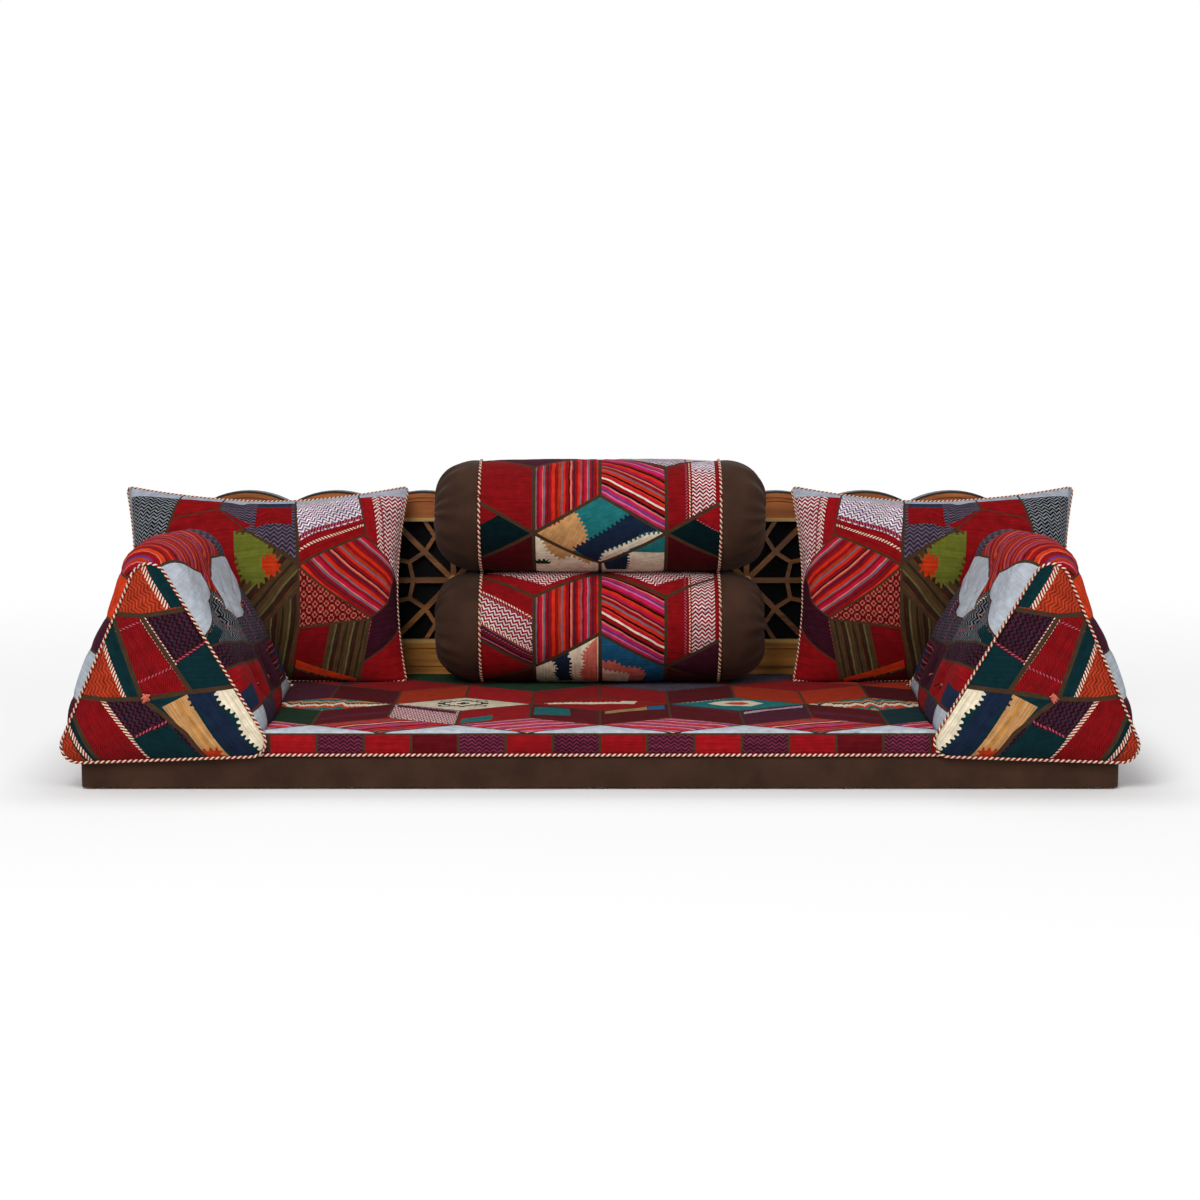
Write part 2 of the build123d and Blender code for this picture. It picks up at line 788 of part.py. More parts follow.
with BuildPart() as wedge_buttons:
    for plane, length in flank_planes():
        with Locations(plane.offset(tuft_floor_level)):
            with GridLocations(length / (tuft_rows + 1), tuft_pitch, tuft_rows, tufts_per_row):
                standing = (Align.CENTER, Align.CENTER, Align.MIN)
                Cylinder(tuft_button_radius, tuft_button_height, align=standing)

for piece, piece_name in (
    (wedge_cover.part, "cover"),
    (wedge_core.part, "core"),
    (wedge_front_panel, "front_panel"),
    (wedge_rear_panel, "rear_panel"),
    (wedge_cords.part, "cords"),
    (wedge_buttons.part, "buttons"),
):
    write(mirrored(piece), f"wedge_left_{piece_name}")
    write(piece, f"wedge_right_{piece_name}")

# Bolsters: a patchwork sleeve, two gathered end caps, a cord at each seam and a rolled core
bolster_y = back_front - rest_gap - bolster_rest_radius
lower_z = seat + bolster_rest_radius
upper_z = lower_z + 2 * bolster_rest_radius + rest_gap


def bolster_plane(height):
    """A plane with x along the bolster and y up from its axis."""
    return Plane(origin=(0, bolster_y, height), x_dir=(1, 0, 0), z_dir=(0, -1, 0))


def press_flats(height, inset, loaded):
    """Flattens the bolster where it lies, where it leans and, if loaded, where another lies on it."""
    split(bisect_by=Plane.XY.offset(height - bolster_rest_radius + inset), keep=Keep.TOP)
    split(bisect_by=Plane.XZ.offset(-bolster_y - bolster_rest_radius + inset), keep=Keep.TOP)
    if loaded:
        split(bisect_by=Plane.XY.offset(height + bolster_rest_radius - inset), keep=Keep.BOTTOM)


def sleeve_body(height, inset, loaded):
    """The middle of a bolster, a little fuller half way along."""
    with BuildPart() as body:
        with BuildSketch(bolster_plane(height)):
            with BuildLine():
                seam = bolster_seam_radius - inset
                ThreePointArc(
                    (-bolster_half_sleeve, seam),
                    (0, bolster_crown_radius - inset),
                    (bolster_half_sleeve, seam),
                )
                Polyline(
                    (bolster_half_sleeve, seam),
                    (bolster_half_sleeve, 0),
                    (-bolster_half_sleeve, 0),
                    (-bolster_half_sleeve, seam),
                )
            make_face()
        revolve(axis=Axis((0, bolster_y, height), (1, 0, 0)))
        press_flats(height, inset, loaded)
    return body.part


def cap_body(height, inset, loaded):
    """One rounded end, from the seam to the dimple under its button."""
    seam = (bolster_half_sleeve, bolster_seam_radius - inset)
    drawn_in = inset * cap_shoulder_inset_share
    shoulder = (bolster_half_sleeve + cap_shoulder_reach - drawn_in, cap_shoulder_radius - drawn_in)
    face = (bolster_half_length - inset, cap_face_radius)
    dimple = (bolster_half_length - cap_dimple_depth - inset, cap_dimple_radius)
    with BuildPart() as body:
        with BuildSketch(bolster_plane(height)):
            with BuildLine():
                ThreePointArc(seam, shoulder, face)
                Polyline(face, dimple, (dimple[0], 0), (bolster_half_sleeve, 0), seam)
            make_face()
        revolve(axis=Axis((0, bolster_y, height), (1, 0, 0)))
        press_flats(height, inset, loaded)
    return body.part


def bolster_cords(height, loaded):
    """A cord ring at each seam of the sleeve."""
    with BuildPart() as rings:
        with BuildSketch(bolster_plane(height)):
            with Locations(
                (-bolster_half_sleeve, bolster_seam_radius + cord_offset),
                (bolster_half_sleeve, bolster_seam_radius + cord_offset),
            ):
                Circle(cord_radius)
        revolve(axis=Axis((0, bolster_y, height), (1, 0, 0)))
        press_flats(height, 0, loaded)
    return rings.part


for height, loaded, bolster_name in ((lower_z, True, "lower"), (upper_z, False, "upper")):
    sleeve_outer = sleeve_body(height, 0, loaded)
    sleeve_cavity = sleeve_body(height, bolster_cloth, loaded)
    sleeve_fill = sleeve_body(height, bolster_cloth + fit_gap, loaded)
    cap_outer = cap_body(height, 0, loaded)
    cap_cavity = cap_body(height, bolster_cloth, loaded)
    cap_fill = cap_body(height, bolster_cloth + fit_gap, loaded)
    with BuildPart() as sleeve:
        add(sleeve_outer)
        add(sleeve_cavity, mode=Mode.SUBTRACT)
    write(sleeve.part, f"bolster_{bolster_name}_sleeve")
    with BuildPart() as cap:
        add(cap_outer)
        add(cap_cavity, mode=Mode.SUBTRACT)
    write(cap.part, f"bolster_{bolster_name}_cap_right")
    write(mirrored(cap.part), f"bolster_{bolster_name}_cap_left")
    far_fill = mirrored(cap_fill)
    with BuildPart() as core:
        add(sleeve_fill)
        add(cap_fill)
        add(far_fill)
    write(core.part, f"bolster_{bolster_name}_core")
    write(bolster_cords(height, loaded), f"bolster_{bolster_name}_cords")
    with BuildPart() as end_buttons:
        for side in (-1, 1):
            dimple_x = side * (bolster_half_length - cap_dimple_depth)
            with BuildSketch(Plane(origin=(dimple_x, bolster_y, height), z_dir=(side, 0, 0))):
                Circle(end_button_radius)
            extrude(amount=end_button_height)
    write(end_buttons.part, f"bolster_{bolster_name}_buttons")

# Pillows, built on the right and mirrored to the left. They lean on the back.
lean = radians(pillow_lean)
pillow_foot = seat + pillow_half_height * cos(lean) - pillow_press
pillow_y = back_front - rest_gap + pillow_press - pillow_half_depth / cos(lean)
pillow_y -= (opening_top - pillow_foot) * tan(lean)


def pillow_plane(reach):
    """The pillow's own plane, reach in front of its seam: x across, y up the pillow."""
    normal = (0, -cos(lean), sin(lean))
    middle = (pillow_centre, pillow_y + normal[1] * reach, pillow_foot + normal[2] * reach)
    return Plane(origin=middle, x_dir=(1, 0, 0), z_dir=normal)


def pillow_outline(width, height, draw_x, draw_y):
    """Four corners joined by sides that draw in by draw_x and draw_y, or bow out if negative."""
    ThreePointArc((-width, -height), (0, -height + draw_y), (width, -height))
    ThreePointArc((width, -height), (width - draw_x, 0), (width, height))
    ThreePointArc((width, height), (0, height - draw_y), (-width, height))
    ThreePointArc((-width, height), (-width + draw_x, 0), (-width, -height))


def pillow_half(side, inset, flange):
    """The front or rear half of the pillow, drawn in by inset."""
    depth = pillow_half_depth - inset
    with BuildPart() as half:
        for depth_share, width_share, height_share, draw_share in pillow_section_shares:
            edge = flange * (1 - depth_share) + inset * depth_share
            with BuildSketch(pillow_plane(side * depth * depth_share)):
                with BuildLine():
                    pillow_outline(
                        pillow_half_width * width_share - edge,
                        pillow_half_height * height_share - edge,
                        pillow_side_draw * draw_share,
                        pillow_top_draw * draw_share,
                    )
                make_face()
        loft()
        split(bisect_by=Plane.XY.offset(seat + inset), keep=Keep.TOP)
        split(bisect_by=Plane.XZ.offset(-back_front + rest_gap + inset), keep=Keep.TOP)
    return half.part


for side, half_name in ((1, "front"), (-1, "back")):
    outer_half = pillow_half(side, 0, 0)
    cavity_half = pillow_half(side, pillow_cloth, pillow_seam_flange)
    with BuildPart() as half_cover:
        add(outer_half)
        add(cavity_half, mode=Mode.SUBTRACT)
    write(mirrored(half_cover.part), f"pillow_left_cover_{half_name}")
    write(half_cover.part, f"pillow_right_cover_{half_name}")

fill_front = pillow_half(1, pillow_cloth + fit_gap, pillow_seam_flange + fit_gap)
fill_back = pillow_half(-1, pillow_cloth + fit_gap, pillow_seam_flange + fit_gap)
with BuildPart() as pillow_insert:
    add(fill_front)
    add(fill_back)
write(mirrored(pillow_insert.part), "pillow_left_insert")
write(pillow_insert.part, "pillow_right_insert")

# Welt round the pillow's seam
with BuildPart() as welt:
    with BuildSketch(pillow_plane(-welt_size / 2)):
        with BuildLine():
            pillow_outline(
                pillow_half_width + welt_size,
                pillow_half_height + welt_size,
                pillow_side_draw,
                pillow_top_draw,
            )
        make_face()
        with BuildLine():
            pillow_outline(pillow_half_width, pillow_half_height, pillow_side_draw, pillow_top_draw)
        make_face(mode=Mode.SUBTRACT)
    extrude(amount=welt_size)
    split(bisect_by=Plane.XY.offset(seat), keep=Keep.TOP)
    split(bisect_by=Plane.XZ.offset(-back_front + rest_gap), keep=Keep.TOP)
write(mirrored(welt.part), "pillow_left_welt")
write(welt.part, "pillow_right_welt")
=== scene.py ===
import math
import random
import bpy
import bmesh
import numpy as np
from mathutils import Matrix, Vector, noise
from mathutils.bvhtree import BVHTree
from mathutils.geometry import delaunay_2d_cdt


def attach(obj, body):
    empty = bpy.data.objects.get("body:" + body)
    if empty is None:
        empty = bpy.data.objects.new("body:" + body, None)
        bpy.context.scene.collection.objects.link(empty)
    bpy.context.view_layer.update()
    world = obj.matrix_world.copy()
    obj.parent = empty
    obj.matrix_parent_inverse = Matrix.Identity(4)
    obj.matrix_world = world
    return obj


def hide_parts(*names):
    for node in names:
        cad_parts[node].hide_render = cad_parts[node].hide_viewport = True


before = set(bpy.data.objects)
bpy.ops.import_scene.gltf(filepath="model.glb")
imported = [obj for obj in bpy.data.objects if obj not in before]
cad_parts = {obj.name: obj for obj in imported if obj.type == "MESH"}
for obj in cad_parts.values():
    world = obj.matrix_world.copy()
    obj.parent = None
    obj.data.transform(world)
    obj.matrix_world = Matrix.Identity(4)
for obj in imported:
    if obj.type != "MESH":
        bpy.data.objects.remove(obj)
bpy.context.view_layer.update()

# Sewing is worked out in millimetres; meshes and the map of each cloth are in metres
MM = .001
chance = random.Random(11)
bpy.ops.object.select_all(action="DESELECT")

# Dye colours, as they look in daylight
dyes = {
    "madder": (.56, .07, .09), "maroon": (.30, .04, .065), "plum": (.29, .10, .17), "pink": (.84, .40, .52),
    "magenta": (.76, .13, .36), "orange": (.82, .235, .095), "rust": (.68, .20, .09), "cream": (.91, .86, .75),
    "tan": (.78, .58, .37), "ochre": (.74, .50, .16), "teal": (.12, .42, .43), "deep_teal": (.05, .19, .21),
    "navy": (.095, .145, .23), "black": (.065, .045, .05), "olive": (.36, .38, .13), "khaki": (.42, .37, .23),
    "linen": (.71, .74, .775), "heather": (.51, .53, .57), "violet": (.44, .22, .46), "brown": (.275, .20, .14),
    "suede": (.225, .147, .105), "salmon": (.85, .45, .38), "grey": (.42, .38, .44), "blue": (.10, .32, .45),
    "rose": (.72, .30, .36), "white": (.93, .91, .90), "dusk": (.20, .15, .22), "green": (.10, .22, .14),
    "rose_red": (.60, .06, .14), "dim_rose": (.52, .20, .31), "scarlet": (.80, .18, .10), "flame": (.76, .27, .16),
    "crimson": (.72, .09, .22), "bark": (.30, .225, .135), "dark_bark": (.20, .14, .095),
    "lining_black": (.035, .03, .035),
}


def linear(shade):
    """A dye, or a colour as it looks on a screen, for a shader socket."""
    shade = dyes.get(shade, shade)
    return tuple(((c + .055) / 1.055) ** 2.4 if c > .04045 else c / 12.92 for c in shade) + (1,)


class Nodes:
    """An emptied node tree, with short ways to fill it."""
    def __init__(self, owner):
        owner.use_nodes = True
        self.tree = owner.node_tree
        self.tree.nodes.clear()

    def add(self, kind, *feeds, **facts):
        node = self.tree.nodes.new("ShaderNode" + kind)
        for key, value in facts.items():
            setattr(node, key, value)
        for place, value in enumerate(feeds):
            self.feed(node, place, value)
        return node

    def feed(self, node, place, value):
        if isinstance(value, bpy.types.NodeSocket):
            self.tree.links.new(value, node.inputs[place])
        else:
            node.inputs[place].default_value = value

    def sum(self, how, *values):
        return self.add("Math", *values, operation=how).outputs[0]


class Finish(Nodes):
    """The nodes of one material, in front of a plain shader."""
    def __init__(self, name):
        self.material = bpy.data.materials.new(name)
        super().__init__(self.material)
        self.shader = self.add("BsdfPrincipled")
        self.add("OutputMaterial", self.shader.outputs[0])

    def blend(self, how, share, one, two):
        node = self.add("Mix", data_type="RGBA", blend_type=how)
        for place, value in ((0, share), (6, one), (7, two)):
            self.feed(node, place, value)
        return node.outputs[2]

    def steps(self, value, stops, how="CONSTANT"):
        node = self.add("ValToRGB", value)
        node.color_ramp.interpolation = how
        while len(node.color_ramp.elements) < len(stops):
            node.color_ramp.elements.new(.5)
        for element, (where, colour) in zip(node.color_ramp.elements, stops):
            element.position, element.color = where, colour
        return node.outputs[0]

    def soft(self, value, low, high, start=0.0, end=1.0):
        """A soft ramp between two greys, or two tints."""
        low, high = ((shade if isinstance(shade, tuple) else (shade,) * 3) + (1,) for shade in (low, high))
        return self.steps(value, [(start, low), (end, high)], "LINEAR")

    def cloud(self, place, size, detail=2.0, rough=.5):
        node = self.add("TexNoise")
        for socket, value in (("Vector", place), ("Scale", size), ("Detail", detail), ("Roughness", rough)):
            self.feed(node, socket, value)
        return node.outputs["Fac"]

    def stretch(self, place, x, y, z=1.0):
        node = self.add("Mapping", place)
        node.inputs["Scale"].default_value = (x, y, z)
        return node.outputs[0]

    def own_place(self, scale=1000):
        """Where a point lies on its own object, in millimetres unless told otherwise."""
        return self.stretch(self.add("TexCoord").outputs["Object"], scale, scale, scale)

    def settle(self, colour, rough, relief, strength, depth, specular=.5, sheen=0.0, sheen_rough=.5, metal=0.0):
        """The colour, the surface and its fine relief, which end every finish."""
        bump = self.add("Bump")
        for socket, value in (("Strength", strength), ("Distance", depth), ("Height", relief)):
            self.feed(bump, socket, value)
        for socket, value in (("Base Color", colour), ("Roughness", rough), ("Specular IOR Level", specular),
                              ("Sheen Weight", sheen), ("Sheen Roughness", sheen_rough), ("Metallic", metal),
                              ("Normal", bump.outputs[0])):
            self.feed(self.shader, socket, value)
        return self.material


cloths = {}


def cloth(name, bands, run=20.0, fold="plain", size=(8.0, 4.0), rib=1.7, streak=.5, fuzz=.25):
    """A flat-woven cloth: bands of dye across the weft, bent by fold, in millimetres on the piece's map."""
    g = Finish(name)
    place = g.stretch(g.add("UVMap", uv_map="flat").outputs[0], 1000, 1000)
    along, weft_line = g.add("SeparateXYZ", place).outputs[:2]
    # the hand of the weaver: no line is quite straight
    hand = g.cloud(g.stretch(place, .03, .03), 1.0)
    across = g.sum("MULTIPLY_ADD", g.sum("SUBTRACT", hand, .5), 5.0, weft_line)
    wide, high = size
    if fold == "steps":
        climb = g.sum("PINGPONG", g.sum("FLOOR", g.sum("DIVIDE", along, wide)), 3.0)
        drift = g.cloud(g.stretch(place, .035, 0.0), 1.0)
        swing = g.sum("MULTIPLY", g.sum("FLOOR", g.sum("MULTIPLY", drift, 11.0)), high * 1.4)
        across = g.sum("ADD", g.sum("MULTIPLY_ADD", climb, high, across), swing)
    elif fold == "zigzag":
        across = g.sum("MULTIPLY_ADD", g.sum("PINGPONG", along, wide), high / wide, across)
    elif fold == "diamond":
        one, two = (g.sum("FLOOR", g.sum("DIVIDE", g.sum("PINGPONG", way, reach), 3.0))
                    for way, reach in ((along, wide), (across, high)))
        across = g.sum("MULTIPLY", g.sum("ADD", one, two), 3.0)
    total = sum(share for share, _ in bands)
    stops, start = [], 0.0
    for share, dye in bands:
        stops.append((start / total, linear(dye)))
        start += share
    dyed = g.steps(g.sum("FRACT", g.sum("DIVIDE", across, run)), stops)
    # uneven dye lots run along the weft, and the pile is worn in places
    lot = g.cloud(g.stretch(place, .012, .32), 1.0, 3.0)
    dyed = g.blend("MULTIPLY", streak, dyed, g.soft(lot, .52, (1.32, 1.30, 1.28), .32, .68))
    worn = g.cloud(g.stretch(place, .055, .055), 1.0, 4.0, .6)
    dyed = g.blend("MULTIPLY", .8, dyed, g.soft(worn, (.66, .64, .66), 1.14, .3, .7))
    weft = g.sum("SINE", g.sum("MULTIPLY", weft_line, 6.283 / rib))
    warp = g.sum("SINE", g.sum("MULTIPLY", along, 6.283 / (rib * 1.25)))
    grain = g.sum("MULTIPLY", weft, warp)
    dyed = g.blend("MULTIPLY", .55, dyed, g.soft(g.sum("MULTIPLY_ADD", grain, .5, .5), .70, 1.12))
    fluff = g.cloud(g.stretch(place, .9, .9), 1.0, 3.0, .7)
    dyed = g.blend("OVERLAY", fuzz, dyed, g.soft(fluff, .2, .85, .3, .7))
    dyed = g.blend("MULTIPLY", 1.0, dyed, g.add("Attribute", attribute_name="tint").outputs["Color"])
    height = g.sum("MULTIPLY_ADD", grain, .35, g.sum("MULTIPLY", fluff, .9))
    cloths[name] = g.settle(dyed, .92, height, .55, .0009, specular=.04, sheen=.015)


def plain(name, dye, **facts):
    """A cloth of one dye."""
    cloth(name, [(1, dye)], **facts)


for dye in ("madder", "maroon", "orange", "teal", "cream", "plum", "tan", "rust", "navy", "olive", "green", "blue",
            "dusk", "salmon"):
    plain(dye + "_weave", dye)
plain("dark_teal_weave", "deep_teal")
plain("linen_weave", "linen", streak=.25, fuzz=.35)
plain("heather_weave", "heather", streak=.3, fuzz=.4)
plain("seam_tape", "brown", streak=.2, rib=1.2)
cloth("upright_stripes", [
    (7, "scarlet"), (6, "madder"), (3, "plum"), (5, "madder"), (4, "grey"), (2, "salmon"), (6, "crimson"),
    (5, "madder"), (3, "grey"), (6, "scarlet"), (5, "madder"), (4, "plum"), (3, "madder"), (4, "salmon"),
    (3, "black"), (7, "madder"), (5, "scarlet"), (4, "grey"), (6, "rust"), (7, "madder")], 96)
cloth("slanting_stripes", [
    (8, "magenta"), (3, "pink"), (5, "violet"), (6, "magenta"), (3, "salmon"), (5, "black"), (8, "madder"),
    (4, "cream"), (5, "crimson"), (4, "scarlet"), (4, "black"), (7, "scarlet"), (4, "grey"), (7, "madder"),
    (3, "salmon"), (4, "plum"), (6, "crimson"), (7, "scarlet"), (5, "black"), (5, "madder")], 104)
cloth("bright_stripes", [
    (6, "orange"), (4, "magenta"), (2, "white"), (5, "magenta"), (5, "violet"), (2, "pink"), (7, "madder"),
    (2, "white"), (4, "orange"), (6, "pink"), (3, "plum"), (5, "magenta")], 62)
cloth("ember_stripes", [
    (7, "madder"), (2, "plum"), (6, "orange"), (1.5, "salmon"), (6, "madder"), (3, "violet"), (5, "rust"),
    (1.2, "pink"), (7, "madder"), (2, "black"), (5, "rose_red"), (4, "orange")], 58)
cloth("blanket_stripes", [(8, "maroon"), (2, "pink"), (6, "plum"), (3, "madder"), (9, "dusk"), (2, "rose")], 34)
for name, bands, run, size, streak in (
        ("ticked_plum", [(3, "dusk"), (1, "maroon"), (2, "black"), (1, "plum")], 9, (5, 5), .8),
        ("rose_herringbone", [(1.5, "rose_red"), (1, "white")], 9.0, (7, 7), .7),
        ("mauve_herringbone", [(1, "violet"), (1.1, "white")], 8.0, (8, 7.5), .7),
        ("plum_herringbone", [(1.3, "plum"), (1, "dim_rose")], 7.4, (7, 6), .8),
        ("dark_herringbone", [(1.4, "dusk"), (1, "grey")], 7.6, (8, 7), .8),
        ("grey_herringbone", [(1.2, "black"), (1, "linen")], 7.6, (8, 7), .8),
        ("flame_herringbone", [(1.6, "flame"), (1.2, "rust"), (.5, "maroon")], 7.5, (10, 7), .5),
        ("dark_red_herringbone", [(3, "madder"), (1, "maroon")], 4.5, (9, 7), .5)):
    cloth(name, bands, run, "zigzag", size, streak=streak)
cloth("teal_steps", [(4, "teal"), (3, "orange"), (3, "cream"), (2, "navy"), (3, "tan")], 110, "steps", (5, 6))
cloth("khaki_plaid", [
    (6, "bark"), (2, "dark_bark"), (5, "bark"), (1, "maroon"), (4, "dark_bark"), (2, "khaki")], 36, streak=.8)
cloth("sand_stripes", [(9, "tan"), (1, "ochre"), (8, "tan"), (1.5, "ochre")], 62, streak=.7)
cloth("little_diamonds", [(1, "madder"), (1, "salmon"), (1, "maroon"), (1, "cream")], 9, "diamond", (11, 8))
cloth("check_weave", [(6, "madder"), (2, "navy"), (3, "madder"), (1, "salmon"), (5, "maroon")], 46)
for name, bands in (("twisted_stripe", [(1, "cream"), (1.1, "madder")]),
                    ("dotted_stripe", [(1, "rose"), (1, "maroon")])):
    cloth(name, bands, 7.0, "zigzag", (400, 400), rib=2.4, streak=.15)


# Flat layouts of sewn patches, in millimetres on the cloth, and their shaping
def edge_gap(points, one, two):
    """How far each point is from the straight edge between one and two."""
    one, two = np.array(one, float), np.array(two, float)
    run = two - one
    share = np.clip(((points - one) @ run) / max(run @ run, 1e-9), 0, 1)
    return np.hypot(*(points - one - share[:, None] * run).T)


def within(points, corners):
    """Which points lie inside the corners."""
    inside = np.zeros(len(points), bool)
    x, y = points[:, 0], points[:, 1]
    for (x1, y1), (x2, y2) in zip(corners, corners[1:] + corners[:1]):
        if y1 != y2:
            inside ^= ((y1 > y) != (y2 > y)) & (x < (x2 - x1) * (y - y1) / (y2 - y1) + x1)
    return inside


def edges_of(patches):
    """Every edge of the patches, once."""
    seen = {}
    for corners, *_ in patches:
        for one, two in zip(corners, corners[1:] + corners[:1]):
            key = tuple(sorted(((round(one[0]), round(one[1])), (round(two[0]), round(two[1])))))
            seen.setdefault(key, (one, two))
    return list(seen.values())


def along(one, two, share):
    """The point at a share of the way from one to two."""
    return one[0] + (two[0] - one[0]) * share, one[1] + (two[1] - one[1]) * share


def offset_edge(one, two, side):
    """The edge moved sideways."""
    run = math.hypot(two[0] - one[0], two[1] - one[1]) or 1
    across = (-(two[1] - one[1]) / run * side, (two[0] - one[0]) / run * side)
    return (one[0] + across[0], one[1] + across[1]), (two[0] + across[0], two[1] + across[1])


def over_filling(spots, rise, node_name, gap=1.0):
    """Cloth points, in millimetres, eased out where the filling would show through them."""
    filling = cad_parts[node_name].data
    tree = BVHTree.FromPolygons([v.co * 1000 for v in filling.vertices],
                                [p.vertices[:] for p in filling.polygons])
    for k, spot in enumerate(spots):
        here = Vector(spot)
        near, way, _, away = tree.find_nearest(here)
        if (here - near).dot(way) < gap + rise[k] * .5:
            spots[k] = near + way * (gap + max(rise[k], 0))
    return spots


def linked(name, data):
    """An object in the scene."""
    thing = bpy.data.objects.new(name, data)
    bpy.context.collection.objects.link(thing)
    return thing


def made(name, form, finish):
    """A smooth object from finished faces."""
    bmesh.ops.recalc_face_normals(form, faces=form.faces)
    mesh = bpy.data.meshes.new(name)
    form.to_mesh(mesh)
    form.free()
    for p in mesh.polygons:
        p.use_smooth = True
    mesh.materials.append(finish)
    return linked(name, mesh)


def sew(name, outline, patches, strips, shape, step, puff, tape=4.0, ground="madder_weave", weld=0, filling=None):
    """A patchwork cover: cut out flat, every seam taped, then laid over its form by shape(u, w, rise).

    step is the size of its small faces, puff how far a patch swells between seams, and tape half a seam
    tape's width. weld joins the edges of a sleeve, and filling names the solid that must not show through.
    """
    seams = edges_of(patches) if tape else []
    rims = list(zip(outline, outline[1:] + outline[:1]))
    lines = [offset_edge(one, two, side) for one, two in seams for side in (-tape, tape)]
    lines += edges_of(strips) + ([] if tape else edges_of(patches))
    points, joins = [], []
    for one, two in lines + rims:
        count = max(1, round(math.dist(one, two) / step))
        first = len(points)
        points += [along(one, two, k / count) for k in range(count + 1)]
        joins += [(first + k, first + k + 1) for k in range(count)]
    low, high = np.min(outline, axis=0), np.max(outline, axis=0)
    rows = []
    for k, w in enumerate(np.arange(low[1] + step * .6, high[1], step * .87)):
        u = np.arange(low[0] + step * (.5 if k % 2 else 1.0), high[0], step)
        rows.append(np.stack([u, np.full(len(u), w)], 1))
    loose = np.concatenate(rows)
    loose = loose[within(loose, list(outline))]
    for one, two in lines + rims:
        loose = loose[edge_gap(loose, one, two) > step * .42]
    every = [Vector(p) for p in points] + [Vector(p) for p in loose]
    spots, _, faces, *_ = delaunay_2d_cdt(every, joins, [], 0, 1e-3)
    spots = np.array([tuple(p) for p in spots])
    faces = np.array([f for f in faces if len(f) == 3])
    middle = spots[faces].mean(axis=1)
    keep = within(middle, list(outline))
    used, faces = np.unique(faces[keep], return_inverse=True)
    faces, middle, spots = faces.reshape(-1, 3), middle[keep], spots[used]
    # each small face takes its cloth: the ground, then its patch, a strip on it, and the tape on top
    plan = [((), ground, 0, 1.0)] + [(p + (1.0,))[:4] for p in list(patches) + list(strips)]
    owner = np.zeros(len(faces), int)
    for k, (corners, *_) in enumerate(plan[1:], 1):
        owner[within(middle, list(corners))] = k
    nearest, which = np.full(len(faces), 1e9), np.zeros(len(faces), int)
    ease = np.full(len(spots), 60.0)
    for k, (one, two) in enumerate(seams):
        gap = edge_gap(middle, one, two)
        which[gap < nearest] = k
        nearest = np.minimum(nearest, gap)
        ease = np.minimum(ease, edge_gap(spots, one, two))
    for one, two in rims:
        ease = np.minimum(ease, edge_gap(spots, one, two))
    taped = nearest < tape
    rise = puff * (1 - np.exp(-np.maximum(ease - tape * .6, 0) / 9.0))
    slack = [noise.noise((u * .021, w * .021, 3.0)) * 1.3 + noise.noise((u * .07, w * .07, 9.0)) * .5
             for u, w in spots]
    rise += np.array(slack) * np.clip(ease / 14, .15, 1)
    solid = shape(spots[:, 0], spots[:, 1], rise)
    if filling:
        solid = over_filling(solid, rise, filling)
    mesh = bpy.data.meshes.new(name)
    mesh.from_pydata((np.array(solid) * MM).tolist(), [], faces.tolist())
    slots = {}
    corner_map = np.zeros((len(faces) * 3, 2))
    shade = np.ones((len(faces) * 3, 4), np.float32)
    picked = np.zeros(len(faces), np.int32)
    for k in range(len(faces)):
        if taped[k]:
            one, two = seams[which[k]]
            kind, turn, centre, tone = "seam_tape", math.atan2(two[1] - one[1], two[0] - one[0]), one, 1.0
        else:
            corners, kind, degrees, tone = plan[owner[k]]
            turn, centre = math.radians(degrees), (corners[0] if corners else (0, 0))
        if kind not in slots:
            slots[kind] = len(slots)
            mesh.materials.append(cloths[kind])
        picked[k] = slots[kind]
        c, s = math.cos(turn), math.sin(turn)
        away = spots[faces[k]] - centre
        corner_map[3 * k:3 * k + 3, 0] = (away[:, 0] * c + away[:, 1] * s) * MM + .31 * (owner[k] % 7)
        corner_map[3 * k:3 * k + 3, 1] = (away[:, 1] * c - away[:, 0] * s) * MM
        shade[3 * k:3 * k + 3, :3] = tone
    mesh.polygons.foreach_set("material_index", picked)
    mesh.uv_layers.new(name="flat").data.foreach_set("uv", corner_map.ravel())
    mesh.color_attributes.new("tint", "FLOAT_COLOR", "CORNER").data.foreach_set("color", shade.ravel())
    mesh.polygons.foreach_set("use_smooth", np.ones(len(faces), bool))
    form = bmesh.new()
    form.from_mesh(mesh)
    if weld:
        bmesh.ops.remove_doubles(form, verts=form.verts, dist=weld)
    bmesh.ops.recalc_face_normals(form, faces=form.faces)
    form.to_mesh(mesh)
    form.free()
    return linked(name, mesh)


def clipped(corners, low, high):
    """The part of a patch that lies inside a rectangle, or None."""
    for axis, edge, sign in ((0, low[0], 1), (0, high[0], -1), (1, low[1], 1), (1, high[1], -1)):
        kept = []
        for one, two in zip(corners, corners[1:] + corners[:1]):
            a, b = (one[axis] - edge) * sign, (two[axis] - edge) * sign
            if a >= 0:
                kept.append(one)
            if (a < 0) != (b < 0):
                kept.append(along(one, two, a / (a - b)))
        corners = kept
    return corners if len(corners) > 2 else None


def tumbling_blocks(centre, side, places):
    """Three rhombi for each hexagon, named by column, row and side."""
    out = {}
    for i, j in places:
        x = centre[0] + 2 * side * math.cos(math.pi / 6) * (i + .5 * (j % 2))
        y = centre[1] + 1.5 * side * j
        rim = [(x + side * math.cos(math.radians(a)), y + side * math.sin(math.radians(a)))
               for a in (90, 150, 210, 270, 330, 30)]
        out[i, j, "left"] = [(x, y), rim[0], rim[1], rim[2]]
        out[i, j, "foot"] = [(x, y), rim[2], rim[3], rim[4]]
        out[i, j, "right"] = [(x, y), rim[4], rim[5], rim[0]]
    return out


